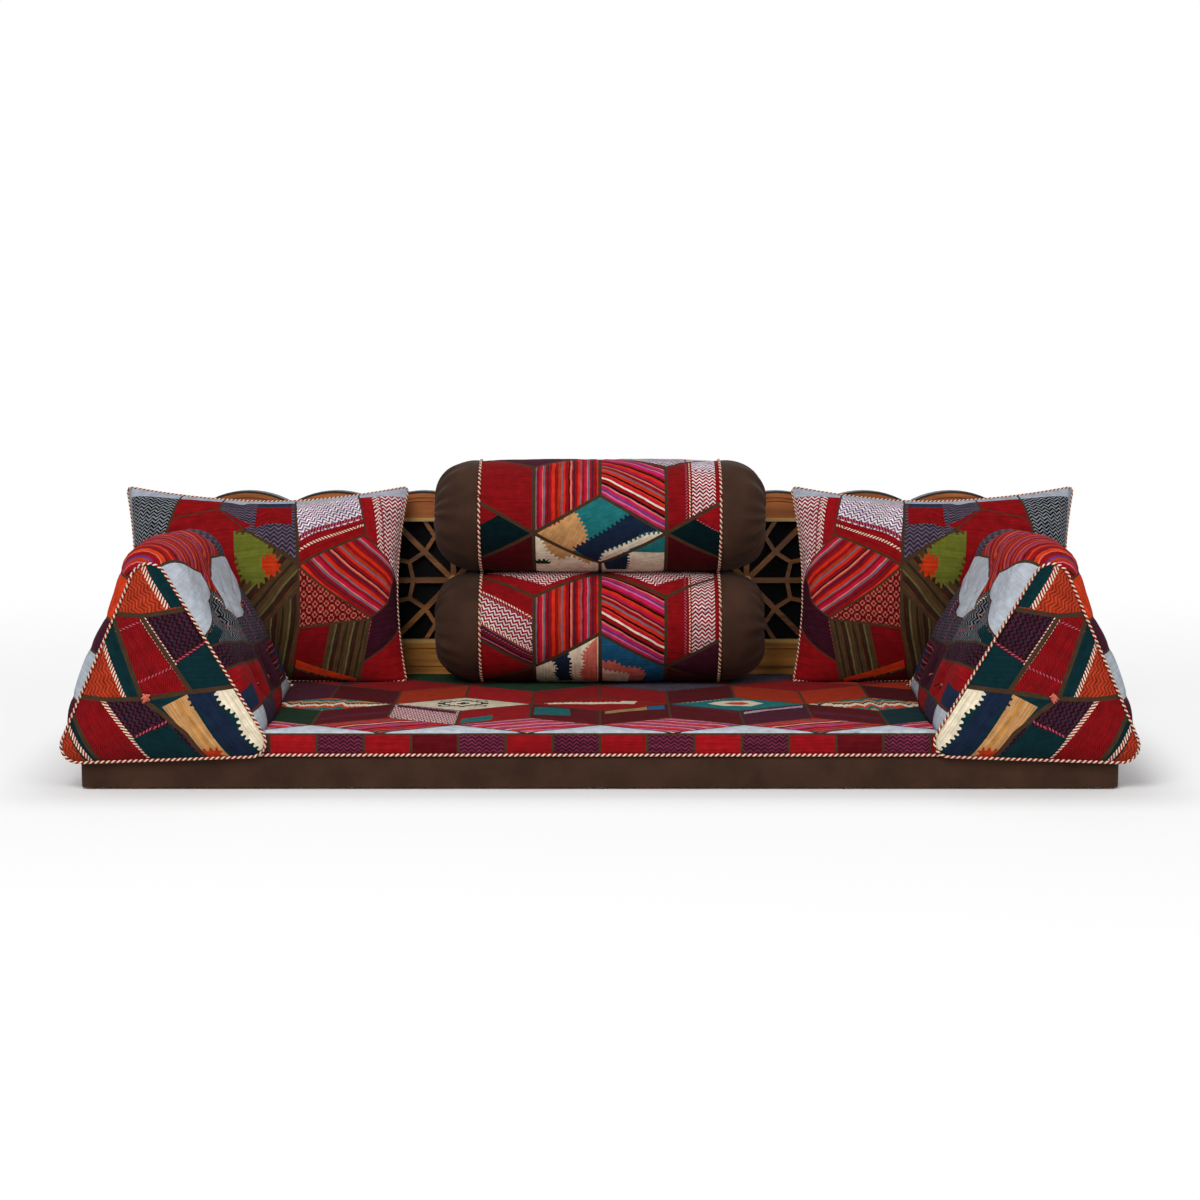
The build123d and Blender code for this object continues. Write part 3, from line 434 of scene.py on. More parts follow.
def square_to(path, k, closed):
    """Two directions square to the path at its point k."""
    last = len(path) - 1
    ahead = Vector(path[(k + 1) % len(path) if closed else min(k + 1, last)])
    behind = Vector(path[k - 1 if closed or k else 0])
    way = (ahead - behind).normalized()
    side = way.cross(Vector((0, 0, 1)) if abs(way.z) < .9 else Vector((0, 1, 0))).normalized()
    return side, side.cross(way)


def strand(name, path, radius, sides, closed, finish):
    """A smooth round strand along a path in millimetres."""
    form = bmesh.new()
    rings, count = [], len(path)
    for k in range(count):
        here = Vector(path[k])
        side, lift = square_to(path, k, closed)
        rings.append([form.verts.new((here + (side * math.cos(a) + lift * math.sin(a)) * radius) * MM)
                      for a in (2 * math.pi * n / sides for n in range(sides))])
    for k in range(count if closed else count - 1):
        one, two = rings[k], rings[(k + 1) % count]
        for n in range(sides):
            form.faces.new((one[n], one[(n + 1) % sides], two[(n + 1) % sides], two[n]))
    if not closed:
        form.faces.new(rings[0])
        form.faces.new(rings[-1])
    return made(name, form, finish)


def even_path(points, gap):
    """The same closed path with evenly spaced points, and its length."""
    points = [Vector(p) for p in points]
    points.append(points[0])
    lengths = [0]
    for one, two in zip(points, points[1:]):
        lengths.append(lengths[-1] + (two - one).length)
    count = max(3, round(lengths[-1] / gap))
    out, k = [], 0
    for n in range(count):
        want = lengths[-1] * n / count
        while k < len(points) - 2 and lengths[k + 1] < want:
            k += 1
        share = (want - lengths[k]) / max(lengths[k + 1] - lengths[k], 1e-9)
        out.append(points[k].lerp(points[k + 1], min(share, 1)))
    return out, lengths[-1]


def twisted_cord(name, points, radius, turn, beats=8):
    """A cream and a red strand laid round each other along a closed seam; turn is the length of one lay."""
    path, length = even_path(points, turn / beats)
    turns = round(length / turn)
    parts = []
    for half, finish in enumerate((cream_yarn, red_yarn)):
        helix = []
        for k, here in enumerate(path):
            side, lift = square_to(path, k, True)
            a = 2 * math.pi * turns * k / len(path) + math.pi * half
            helix.append(here + (side * math.cos(a) + lift * math.sin(a)) * radius * .48)
        parts.append(strand(name + str(half), helix, radius * .60, 6, True, finish))
    return merged(name, parts)


def merged(name, parts):
    """Several meshes as one piece."""
    bpy.ops.object.select_all(action="DESELECT")
    for part in parts:
        part.select_set(True)
    bpy.context.view_layer.objects.active = parts[0]
    if len(parts) > 1:
        bpy.ops.object.join()
    parts[0].name = name
    parts[0].select_set(False)
    return parts[0]


def yarn(name, dye):
    """Spun yarn for cords and tufts."""
    g = Finish(name)
    place = g.own_place()
    fibres = g.cloud(g.stretch(place, .5, .5, .5), 1.0, 4.0, .7)
    dyed = g.blend("MULTIPLY", .8, linear(dye), g.soft(fibres, .55, 1.1, .3, .7))
    spun = g.cloud(g.stretch(place, .625, .625, .625), 1.0, 2.0)
    return g.settle(dyed, .9, spun, .6, .0006, specular=.1)


cream_yarn, red_yarn = yarn("cream_yarn", "cream"), yarn("red_yarn", "madder")
dark_yarn, pink_yarn = yarn("dark_yarn", "black"), yarn("pink_yarn", "salmon")


def suede(name, dye, sheen):
    """Brushed suede cloth with soft blotches where the nap lies another way."""
    g = Finish(name)
    place = g.own_place()
    blotch = g.cloud(g.stretch(place, .012, .012, .012), 1.0, 4.0, .6)
    fine = g.cloud(g.stretch(place, .7, .7, .7), 1.0, 3.0, .7)
    dyed = g.blend("MULTIPLY", 1.0, linear(dye), g.soft(blotch, (.70, .70, .72), (1.28, 1.26, 1.24), .3, .7))
    dyed = g.blend("MULTIPLY", .5, dyed, g.soft(fine, .75, 1.2))
    height = g.sum("MULTIPLY_ADD", blotch, .5, fine)
    return g.settle(dyed, .85, height, .4, .0007, specular=.12, sheen=sheen, sheen_rough=.45)


brown_suede = suede("brown_suede", "suede", .04)


def band(one, two, width):
    """The four corners of a narrow strip along a line."""
    near, far = offset_edge(one, two, width / 2), offset_edge(one, two, -width / 2)
    return [near[0], near[1], far[1], far[0]]


def strip(one, two, width, kind):
    """A narrow woven strip that runs along its own line."""
    return band(one, two, width), kind, math.degrees(math.atan2(two[1] - one[1], two[0] - one[0]))


def stepped_diamond(centre, wide, high, steps):
    """A woven diamond with stepped sides."""
    quarter = []
    for k in range(steps):
        quarter += [((k + 1) / steps, 1 - k / steps), ((k + 1) / steps, 1 - (k + 1) / steps)]
    quarter = [(0, 1)] + [(x - .5 / steps, y) for x, y in quarter]
    ring = []
    for sx, sy, order in ((1, 1, 1), (1, -1, -1), (-1, -1, 1), (-1, 1, -1)):
        ring += [(sx * x, sy * y) for x, y in quarter[::order]]
    return [(centre[0] + x * wide, centre[1] + y * high) for x, y in ring]


# Bolsters: two sewn sleeves with gathered suede caps, stacked against the lattice
block = 163.0                                    # side of a hexagon of the tumbling blocks
column = block * math.cos(math.radians(30))      # half the distance between two columns of them
sleeve_half, sleeve_radius, cloth_radius, cap_radius, cord_ring = 257.0, 121.0, 117.9, 118.6, 119.8
axis_y, lower_z, upper_z = 229.0, 233.6, 475.9
seat, back_face = 112.6, 350.1                   # top of the mattress, front of the timber back
open_air = 600                                   # above everything that a bolster could meet
spare = ["madder_weave", "maroon_weave", "blanket_stripes", "plum_weave", "rose_herringbone", "green_weave",
         "upright_stripes", "orange_weave", "dark_herringbone", "teal_weave"]


def bolster_cover(name, axis_z, floor_z, roof_z, patches, strips, filling):
    """A sleeve round its bolster: u runs along the axis, and w round it from the back."""
    def shape(u, w, rise):
        radius = cloth_radius + 3.0 * (1 - (u / sleeve_half) ** 2) + rise * (1 - .8 * np.abs(u / sleeve_half) ** 8)
        pucker = np.exp(-(sleeve_half - np.abs(u)) / 16) * np.sin(w / 5.2 + np.sin(w / 37) * 3) * .8
        a = w / sleeve_radius
        y = axis_y - (radius + pucker) * np.cos(a)
        z = axis_z + (radius + pucker) * np.sin(a)
        return np.stack([u, np.minimum(y, back_face), np.clip(z, floor_z, roof_z)], 1)
    girth = math.pi * sleeve_radius
    outline = [(-sleeve_half, -girth), (sleeve_half, -girth), (sleeve_half, girth), (-sleeve_half, girth)]
    return sew(name, outline, patches, strips, shape, 8.0, 2.4, 3.8, weld=.4 * MM, filling=filling)


def bolster_patches(centre, named):
    """The blocks of a sleeve: the named ones as in the photo, and the rest from the spare cloths."""
    blocks = tumbling_blocks(centre, block, [(i, j) for j in (-2, -1, 0, 1, 2) for i in (-2, -1, 0, 1)])
    out = []
    for key, corners in blocks.items():
        if key in named:
            if named[key]:
                out.append((corners,) + named[key])
        else:
            out.append((corners, chance.choice(spare), chance.choice((0, 90, 30, -30)), .85))
    return out


upper_named = {
    (0, 0, "left"): ("upright_stripes", 90, 1.0), (0, 0, "right"): ("slanting_stripes", -30, 1.0),
    (0, 0, "foot"): ("teal_weave", 20, 1.05),
    (-1, 0, "right"): ("madder_weave", 0, .82), (-1, 0, "foot"): ("dark_teal_weave", 0, .33),
    (-1, -1, "left"): ("maroon_weave", 0, .9),
    (-1, -1, "right"): ("cream_weave", 0, .98), (0, -1, "left"): ("cream_weave", 10, .96),
    (0, -1, "right"): ("maroon_weave", 0, .85),
    (1, 0, "left"): ("madder_weave", 0, .82), (1, 0, "foot"): ("dark_teal_weave", 0, .33),
    (-1, 1, "foot"): ("plum_weave", 0, .9), (0, 1, "foot"): ("mauve_herringbone", 0, .8),
    (-1, 1, "right"): ("plum_weave", 0, .8),
}


def jagged(points, tooth=10.5, bite=2.9):
    """A woven edge with small teeth between the points."""
    out = []
    for one, two in zip(points, points[1:]):
        count = max(1, round(math.dist(one, two) / tooth))
        for k in range(count):
            for beat, side in ((0, bite), (.3, bite), (.5, -bite), (.8, -bite)):
                out.append(along(*offset_edge(one, two, side), (k + beat) / count))
    return out + [points[-1]]


upper_strips = [
    # tan corner, rose spot, dark diagonal and cream edge of the front diamond
    ([(-125, -22), (-82, 2), (-62, 20)] + jagged([(-54, 22), (-30, -20), (-25, -60)]) + [(-60, -72), (-135, -30)],
      "tan_weave", 60, .95),
    (jagged([(-112, -14), (-84, -2), (-78, 6)]) + [(-100, -2)], "madder_weave", 0, 1.35),
    (jagged([(-58, -62), (-20, -40), (25, -12), (62, 14)]) + [(80, 6)] +
     jagged([(128, -22), (92, -30), (60, -48), (10, -70), (-4, -106)]) + [(-30, -90)], "navy_weave", 20, 1.0),
    (jagged([(136, -26), (96, -30), (58, -50), (8, -72), (-2, -104)]) + [(4, -105), (139, -30)],
     "cream_weave", 30, 1.0),
    # ochre stair and dark bits under the diamond
    (jagged([(-128, -38), (-110, -72), (-84, -96), (-62, -84), (-40, -98), (-30, -112), (-12, -104)]) + [(-70, -66)],
      "tan_weave", 30, .82),
    (jagged([(-141, -100), (-112, -96), (-104, -112)]) + [(-141, -114)], "green_weave", 0, .6),
    ([(141, -30), (141, -76), (64, -74), (62, -66)], "teal_weave", 0, 1.0),
    (jagged([(8, -106), (30, -92), (60, -72), (62, -100), (58, -140)]) + [(14, -140)], "navy_weave", 90, 1.0),
    # weave of the right-hand column
    ([(196, 160), (196, 8), (246, 30), (246, 190)], "rose_herringbone", 0, .95),
    ([(196, 240), (196, 122), (246, 122), (246, 240)], "mauve_herringbone", 0, 1.1),
    strip((184, -4), (184, 200), 4, "dotted_stripe"), strip((191, 0), (191, 200), 3, "twisted_stripe"),
    ([(282, 53), (200, 6), (282, -41)], "madder_weave", 0, .9),
    ([(-282, 53), (-213, 13), (-282, -27)], "madder_weave", 0, .75),
    strip((204, 2), (262, -32), 3, "dotted_stripe"),
]
lower_named = {
    (0, 0, "left"): ("upright_stripes", 90, 1.0), (0, 0, "right"): ("slanting_stripes", -30, 1.0), (0, 0, "foot"): None,
    (-1, 0, "right"): ("madder_weave", -30, .85), (-1, 0, "foot"): ("madder_weave", 0, .9),
    (-1, -1, "left"): ("maroon_weave", 0, 1.0),
    (1, 0, "left"): ("madder_weave", 0, .85), (1, 0, "foot"): ("plum_weave", 0, .75),
    (0, -1, "right"): ("maroon_weave", 0, 1.0),
    (-1, 1, "foot"): ("madder_weave", 0, .95), (0, 1, "foot"): ("madder_weave", 0, .95),
    (-1, -1, "right"): None, (0, -1, "left"): None,
}
lower_halves = [
    ([(0, 0), (-column, -81.5), (-column, -244.5), (0, -244.5)], "cream_weave", 90, 1.0),
    ([(0, 0), (0, -244.5), (column, -244.5), (column, -81.5)], "blue_weave", 0, 1.05),
]
lower_strips = [
    ([(-282, 104), (-141, 23), (-141, -38), (-282, 43)], "rose_herringbone", -30, .85),
    strip((-282, 104), (-141, 23), 5, "dotted_stripe"), strip((-282, 112), (-141, 31), 4, "twisted_stripe"),
    strip((-282, 40), (-141, -41), 5, "twisted_stripe"),
    ([(-282, 36), (-141, -45), (-141, -81), (-282, 0)], "blanket_stripes", -30, .8),
    strip((-282, 26), (-141, -55), 3, "dotted_stripe"),
    ([(196, 170), (196, -46), (246, -16), (246, 170)], "rose_herringbone", 0, .9),
    strip((183, -50), (183, 170), 5, "dotted_stripe"), strip((192, -46), (192, 170), 3, "twisted_stripe"),
    ([(-250, 176), (-120, 110), (-15, 171), (-60, 200)], "rose_herringbone", -30, .95),
    ([(250, 176), (120, 110), (15, 171), (60, 200)], "rose_herringbone", 30, .95),
    strip((-210, 150), (-60, 236), 4, "twisted_stripe"), strip((210, 150), (60, 236), 4, "twisted_stripe"),
    (jagged([(-104, -60), (-92, -84), (-100, -104), (-88, -140)]) +
     jagged([(-56, -140), (-64, -100), (-62, -66), (-70, -42)]), "navy_weave", 90, 1.0),
    (jagged([(-36, -140), (-44, -100), (-34, -70), (-40, -50), (-24, -26)]) + [(-6, -8), (-6, -150)],
     "salmon_weave", 90, .95),
    (jagged([(5, -66), (30, -62), (50, -78), (84, -84), (100, -100)]) + [(90, -140), (5, -140)], "salmon_weave", 0, .9),
    (jagged([(5, -88), (36, -96), (64, -104)]) + [(60, -150), (5, -150)], "cream_weave", 0, 1.0),
]
# each bolster: the height of its axis, the flats it lies on and carries, and its patchwork
bolsters = {
    "upper": (upper_z, upper_z - 121.1, open_air, bolster_patches((0, 53), upper_named), upper_strips),
    "lower": (lower_z, seat, lower_z + 121.0, bolster_patches((0, 0), lower_named) + lower_halves, lower_strips),
}
sleeves = {word: bolster_cover(f"bolster_{word}_sleeve_cloth", *facts, f"bolster_{word}_core")
           for word, facts in bolsters.items()}


def bolster_cap(name, axis_z, side, floor_z, roof_z, seed, filling):
    """A soft suede end: eased over the shoulder and gathered into the middle."""
    form = bmesh.new()
    rings, around, rows, power = [], 144, 34, 2 / 2.6
    for k in range(rows + 1):
        # a squarish quarter round from the seam to the tip, with a small lip under the cord
        t = k / rows
        out, keep = math.sin(t * math.pi / 2) ** power, math.cos(t * math.pi / 2) ** power
        ring, folds = [], []
        for n in range(around):
            a = 2 * math.pi * n / around
            pull = noise.noise((math.cos(a) * 1.3, math.sin(a) * 1.3, seed)) * 2.2
            fold = math.cos(a * 17 + pull * 1.7)
            deep = 7.6 * (1 - keep) ** 1.3 * min(1, keep * 3.2) + 1.2 * math.exp(-t * 9)
            deep *= .6 + .5 * noise.noise((a * 2, t * 2, seed))
            sag = noise.noise((math.cos(a) * 1.6, math.sin(a) * 1.6, out * 2 + seed)) * 3.4 * min(1, t * 4)
            radius = max(cap_radius * keep + fold * deep * .8 + sag * .5, 0)
            loose = .55 + .6 * noise.noise((a * 2.3, t * 2, seed))
            folds.append(2.0 + (fold + 1) * 4.4 * math.exp(-((t - .58) / .3) ** 2) * loose + sag * .5)
            x = sleeve_half - 1 + 98 * out + fold * deep * .55 - 5 * math.exp(-((keep * 119) / 22) ** 2)
            y = min(axis_y - radius * math.cos(a), back_face)
            z = min(max(axis_z + radius * math.sin(a), floor_z), roof_z)
            ring.append(form.verts.new((side * x * MM, y * MM, z * MM)))
        eased = over_filling([tuple(p.co * 1000) for p in ring], folds, filling, .6)
        for point, spot in zip(ring, eased):
            point.co = Vector(spot) * MM
        rings.append(ring)
    for one, two in zip(rings, rings[1:]):
        for n in range(around):
            form.faces.new((one[n], one[(n + 1) % around], two[(n + 1) % around], two[n]))
    bmesh.ops.remove_doubles(form, verts=form.verts, dist=.2 * MM)
    bmesh.ops.holes_fill(form, edges=[e for e in form.edges if e.is_boundary])
    return made(name, form, brown_suede)


def dress(piece, body, nodes):
    """Give a piece its body and the solid that it stands for."""
    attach(piece, body)
    if nodes:
        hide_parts(*nodes)


for height_word, (axis_z, floor_z, roof_z, *_) in bolsters.items():
    body = "bolster_" + height_word
    dress(sleeves[height_word], body, [body + "_sleeve"])
    rings = []
    for side, word in ((-1, "left"), (1, "right")):
        cap = bolster_cap(f"{body}_cap_{word}_suede", axis_z, side, floor_z, roof_z,
                          3.1 * side + axis_z, body + "_core")
        dress(cap, body, [f"{body}_cap_{word}"])
        turns = [2 * math.pi * n / 90 for n in range(90)]
        ring = [(side * (sleeve_half + .2), min(axis_y - cord_ring * math.cos(a), back_face - 3.9),
                 min(max(axis_z + cord_ring * math.sin(a), floor_z + 2), roof_z - 2)) for a in turns]
        rings.append(twisted_cord(f"{body}_cord_{word}", ring, 3.1, 11.5))
    dress(merged(body + "_twisted_cords", rings), body, [body + "_cords"])


# Mattress: a patchwork top that turns over its edge into a border of blocks
core_low, core_high = (-975.0, -375.0), (975.0, 318.0)       # centres of its rounded corners
edge_x, edge_near, edge_far = 997, -397, 340                 # where the top turns into the border
flat_run, bend, drop_start, tuck_start = 11, 14, 33, 67      # along the cloth, from the core outwards
cloth_top, cloth_under = 112.3, 64.35


def mattress_shape(u, w, rise):
    """Past the core the cloth runs on, turns down, drops and is tucked under."""
    spot = np.stack([u, w], 1)
    core = np.clip(spot, core_low, core_high)
    away = spot - core
    d = np.hypot(away[:, 0], away[:, 1])
    way = away / np.maximum(d, 1e-6)[:, None]
    turn = np.clip((d - flat_run) / bend, 0, math.pi / 2)
    drop = np.clip(d - drop_start, 0, tuck_start - drop_start)
    out = np.minimum(d, flat_run) + bend * np.sin(turn) - np.maximum(d - tuck_start, 0)
    z = cloth_top - bend * (1 - np.cos(turn)) - drop
    lift = np.where(d < tuck_start, rise - 2.2 * (d < 24), 0)
    out = out + lift * np.sin(turn) * (1 - drop / 40)
    z = z + lift * np.cos(turn)
    return np.stack([core[:, 0] + way[:, 0] * out, core[:, 1] + way[:, 1] * out, np.maximum(z, cloth_under)], 1)


def round_corners(low, high, reach):
    """A rectangle with quarter-round corners, given by their centres."""
    out = []
    for x, y, start in ((high[0], high[1], 0), (low[0], high[1], 90), (low[0], low[1], 180), (high[0], low[1], 270)):
        turns = [math.radians(start + k * 10) for k in range(10)]
        out += [(x + reach * math.cos(a), y + reach * math.sin(a)) for a in turns]
    return out


seat_blocks = tumbling_blocks((-column, -233.5), block, [(i, j) for j in (-1, 0, 1, 2) for i in range(-4, 5)])
# rows of blocks from the front edge: (column, row, side): cloth, thread direction, tone
seat_named = {
    (-1, 0, "foot"): ("slanting_stripes", 24, 1.0), (0, 0, "foot"): ("bright_stripes", 22, 1.0),
    (1, 0, "foot"): ("bright_stripes", -22, 1.0),
    (2, 0, "foot"): ("slanting_stripes", 24, 1.05), (-2, 0, "foot"): ("bright_stripes", -24, 1.0),
    (3, 0, "foot"): ("bright_stripes", 20, .95),
    (0, 0, "right"): ("maroon_weave", -30, 1.35), (0, 0, "left"): ("madder_weave", 30, 1.0),
    (-1, 0, "right"): ("rose_herringbone", -30, .9),
    (-1, 0, "left"): ("maroon_weave", 30, 1.15), (1, 0, "left"): ("maroon_weave", 30, 1.1),
    (1, 0, "right"): ("maroon_weave", -30, 1.15),
    (2, 0, "left"): ("plum_weave", 30, .9), (2, 0, "right"): ("maroon_weave", -30, 1.1),
    (-2, 0, "right"): ("green_weave", -30, .6),
    (-2, 0, "left"): ("maroon_weave", 0, 1.0), (3, 0, "left"): ("dark_teal_weave", 0, .8),
    (3, 0, "right"): ("maroon_weave", 0, 1.0),
    (0, 1, "foot"): ("madder_weave", 0, 1.0), (-1, 1, "foot"): ("cream_weave", 0, .82),
    (1, 1, "foot"): ("teal_weave", 0, 1.05),
    (-2, 1, "foot"): ("teal_steps", 0, .95), (2, 1, "foot"): ("teal_steps", 0, 1.0),
    (-3, 1, "foot"): ("green_weave", 0, .7), (3, 1, "foot"): ("green_weave", 0, .7),
    (-1, 1, "left"): ("rust_weave", 30, .8), (-1, 1, "right"): ("madder_weave", -30, 1.15),
    (0, 1, "left"): ("madder_weave", 30, .85),
    (0, 1, "right"): ("madder_weave", -30, .9), (1, 1, "left"): ("maroon_weave", 30, 1.1),
    (1, 1, "right"): ("rust_weave", -30, .8),
    (2, 1, "left"): ("rust_weave", 30, .9), (-2, 1, "right"): ("maroon_weave", -30, 1.0),
}
rear_row = ["maroon_weave", "madder_weave", "green_weave", "plum_weave", "rust_weave", "dark_herringbone",
    "madder_weave"]
seat_patches = []
for k, (key, corners) in enumerate(seat_blocks.items()):
    if key[1] == -1:
        continue
    kind = seat_named.get(key, (rear_row[(k * 3 + key[0]) % 7], 30 * (k % 3), .9))
    corners = clipped(corners, (-edge_x, edge_near), (edge_x, edge_far))
    if corners:
        seat_patches.append((corners,) + kind)
# pale half blocks along the front edge
for k in range(-4, 5):
    middle = 2 * column * k
    corners = [(middle - column, edge_near), (middle + column, edge_near), (middle, edge_near + block / 2)]
    corners = clipped(corners, (-edge_x, edge_near), (edge_x, edge_far))
    seat_patches.append((corners, "linen_weave", 0, 1.22))
# the border: 22 blocks along each long edge, 8 along each short one, and a square at each corner
border = [("dark_red_herringbone", 1.15), ("plum_herringbone", .6), ("madder_weave", 1.0),
          ("plum_herringbone", .75), ("madder_weave", 1.25), ("plum_herringbone", .7),
          ("madder_weave", 1.05), ("maroon_weave", 1.5), ("plum_herringbone", .8)]
border_end, border_high = 998, 55
for k in range(22):
    left, right = (-border_end + n * 2 * border_end / 22 for n in (k, k + 1))
    for near, far, start in ((edge_near, edge_near - border_high, 0), (edge_far, edge_far + border_high, 4)):
        kind, tone = border[(k + start) % 9]
        seat_patches.append(([(left, near), (right, near), (right, far), (left, far)], kind, 0, tone))
for k in range(8):
    low_y, high_y = (edge_near + n * (edge_far - edge_near) / 8 for n in (k, k + 1))
    for near, far, start in ((-edge_x, -edge_x - border_high, 2), (edge_x, edge_x + border_high, 6)):
        kind, tone = border[(k + start) % 9]
        seat_patches.append(([(near, low_y), (near, high_y), (far, high_y), (far, low_y)], kind, 90, tone))
for x in (-1, 1):
    for near, far in ((edge_near, -460), (edge_far, 400)):
        corners = [(x * edge_x, near), (x * 1060, near), (x * 1060, far), (x * edge_x, far)]
        seat_patches.append((corners, "madder_weave", 0, .9))


def hooked_star(x, y, wide, high, outer, inner, heart):
    """A stepped lozenge with hooks, as woven in a village rug."""
    parts = [(stepped_diamond((x, y), wide * size, high * size, steps), kind, 0)
             for size, steps, kind in ((1, 5, outer), (.72, 4, inner), (.3, 2, heart))]
    for sx, sy in ((1, 1), (1, -1), (-1, 1), (-1, -1)):
        for (x1, y1), (x2, y2), width in (((.42, .75), (.8, .75), high * .14), ((.8, .82), (.8, .5), wide * .12)):
            ends = ((x + sx * wide * px, y + sy * high * py) for px, py in ((x1, y1), (x2, y2)))
            parts.append((band(*ends, width), outer, 0))
    return parts


star_y = 11 - block / 2


def around_star(x, *offsets):
    """Points told from the middle of a block of the star row."""
    return [(x + u, star_y + w) for u, w in offsets]


seat_strips = hooked_star(-2 * column, star_y, 58, 44, "dark_teal_weave", "cream_weave", "dark_teal_weave")
seat_strips += [
    (around_star(2 * column, (-60, 0), (-30, 30), (26, 30), (56, 0), (26, -34), (-30, -34)), "cream_weave", 0, .9),
    (around_star(2 * column, (-26, 0), (-12, 15), (12, 15), (26, 0), (12, -17), (-12, -17)), "orange_weave", 0, 1.0),
    (jagged(around_star(2 * column, (-118, 8), (-76, 28), (-22, 66))) + around_star(2 * column, (-10, 74), (-134, 4)),
     "cream_weave", 0, .9),
    # cream stair on the middle block
    (jagged(around_star(0, (-116, 6), (-20, 14), (40, 10))) +
     around_star(0, (46, 34), (78, 34), (70, -8), (40, -10), (-20, -12), (-104, -8)), "cream_weave", 0, .95),
    # small inlays of the second row
    ([(-column + 8, -200), (-column + 8, -110), (-62, -138), (-58, -222)], "teal_weave", -30, .8),
    ([(-2 * column + 8, -300), (-2 * column + 8, -250), (-214, -214), (-214, -262)], "teal_weave", 30, .95),
    ([(10, -190), (10, -160), (96, -112), (96, -150)], "tan_weave", 30, .7),
    ([(98, -150), (98, -108), (132, -88), (132, -136)], "blue_weave", 30, 1.5),
    ([(-3 * column + 8, -110), (-3 * column + 8, -84), (-2 * column - 8, -164), (-2 * column - 8, -196)],
     "plum_weave", -30, 1.2),
    ([(column + 6, -104), (column + 6, -84), (2 * column - 6, -164), (2 * column - 6, -184)], "plum_weave", -30, 1.35),
    ([(3 * column - 8, -112), (3 * column - 8, -92), (2 * column + 8, -172), (2 * column + 8, -196)],
      "mauve_herringbone", 30, .8),
    ([(3 * column + 8, -190), (3 * column + 8, -160), (4 * column - 8, -240), (4 * column - 8, -262)],
     "plum_weave", -30, 1.2),
    ([(-3 * column - 8, -190), (-3 * column - 8, -160), (-4 * column + 8, -240), (-4 * column + 8, -262)],
     "plum_weave", 30, 1.2),
]
mattress = sew("mattress_patchwork", round_corners(core_low, core_high, 76), seat_patches, seat_strips,
               mattress_shape, 10.0, 2.4, 2.6, filling="mattress_foam")
dress(mattress, "mattress", ["mattress_cover"])
rim_cord = []
for x, y, start in ((*core_high, 0), (core_low[0], core_high[1], 90),
                    (*core_low, 180), (core_high[0], core_low[1], 270)):
    turns = [math.radians(start + a) for a in range(0, 91, 9)]
    rim_cord += [(x + 28.4 * math.cos(a), min(y + 28.4 * math.sin(a), back_face - 4.5), 67.9) for a in turns]
rim_cord = twisted_cord("mattress_twisted_cord", rim_cord, 3.0, 10.4, beats=7)
dress(rim_cord, "mattress", ["mattress_cord"])


# Arm wedges: drawn on the right and mirrored to the left
foot_in, foot_out, apex = (645.0, 70.0), (1039.0, 55.0), (860.0, 459.0)
wedge_front, wedge_rear = -410.5, 142.0


def triangle(grow, radius=30.0):
    """The wedge's rounded end outline as points, anticlockwise from the inner foot."""
    corners = [Vector(foot_in), Vector(foot_out), Vector(apex)]
    sides = [(corners[1] - corners[2]).length, (corners[2] - corners[0]).length, (corners[0] - corners[1]).length]
    middle = sum((c * s for c, s in zip(corners, sides)), Vector((0, 0))) / sum(sides)
    run, rise = foot_out[0] - foot_in[0], apex[1] - foot_in[1]
    inner = (run * rise - (apex[0] - foot_in[0]) * (foot_out[1] - foot_in[1])) / sum(sides)
    corners = [middle + (c - middle) * (1 + grow / inner) for c in corners]
    radius = max(radius + grow, 14)
    out = []
    for i in range(3):
        ahead, behind = (corners[(i + 1) % 3] - corners[i]).normalized(), (corners[i - 1] - corners[i]).normalized()
        half = math.acos(max(-1, min(1, ahead.dot(behind)))) / 2
        inward = (ahead + behind).normalized()
        hub = corners[i] + inward * radius / math.sin(half)
        one, two = (corners[i] + way * radius / math.tan(half) - hub for way in (behind, ahead))
        begin = math.atan2(one.y, one.x)
        sweep = (math.atan2(two.y, two.x) - begin) % (2 * math.pi)
        turns = [begin + sweep * k / 8 for k in range(9)]
        out += [(hub.x + radius * math.cos(a), hub.y + radius * math.sin(a)) for a in turns]
    return out


end_outline = triangle(0)
over_ridge = [Vector(p) for p in end_outline[:17:-1]]         # the ridge arc, inner side first
in_way = (over_ridge[0] - Vector(foot_in)).normalized()
out_way = (over_ridge[-1] - Vector(foot_out)).normalized()
in_base = over_ridge[0] - in_way * ((over_ridge[0].y - seat) / in_way.y)
out_base = over_ridge[-1] - out_way * ((over_ridge[-1].y - seat) / out_way.y)
# round the wedge, from under its inner side over the ridge to under its outer side
wedge_line = ([in_base + Vector((60, 0)), in_base + Vector((14, 0)), in_base]
              + [in_base.lerp(over_ridge[0], k / 30) for k in range(1, 30)] + over_ridge
              + [over_ridge[-1].lerp(out_base, k / 30) for k in range(1, 30)]
              + [out_base, out_base - Vector((14, 0)), out_base - Vector((60, 0))])
arc = [0.0]
for one, two in zip(wedge_line, wedge_line[1:]):
    arc.append(arc[-1] + (two - one).length)
arc = np.array(arc) - arc[3 + 29 + 4]                         # told from the ridge
line_x, line_z = np.array([p.x for p in wedge_line]), np.array([p.y for p in wedge_line])
tufts = [(y, w) for y in (-272.4, -134.3, 3.9) for w in (-152.0, -300.0, 150.0, 297.0)]
hollow_deep, crease_deep = 24, 6.5                            # round each tuft


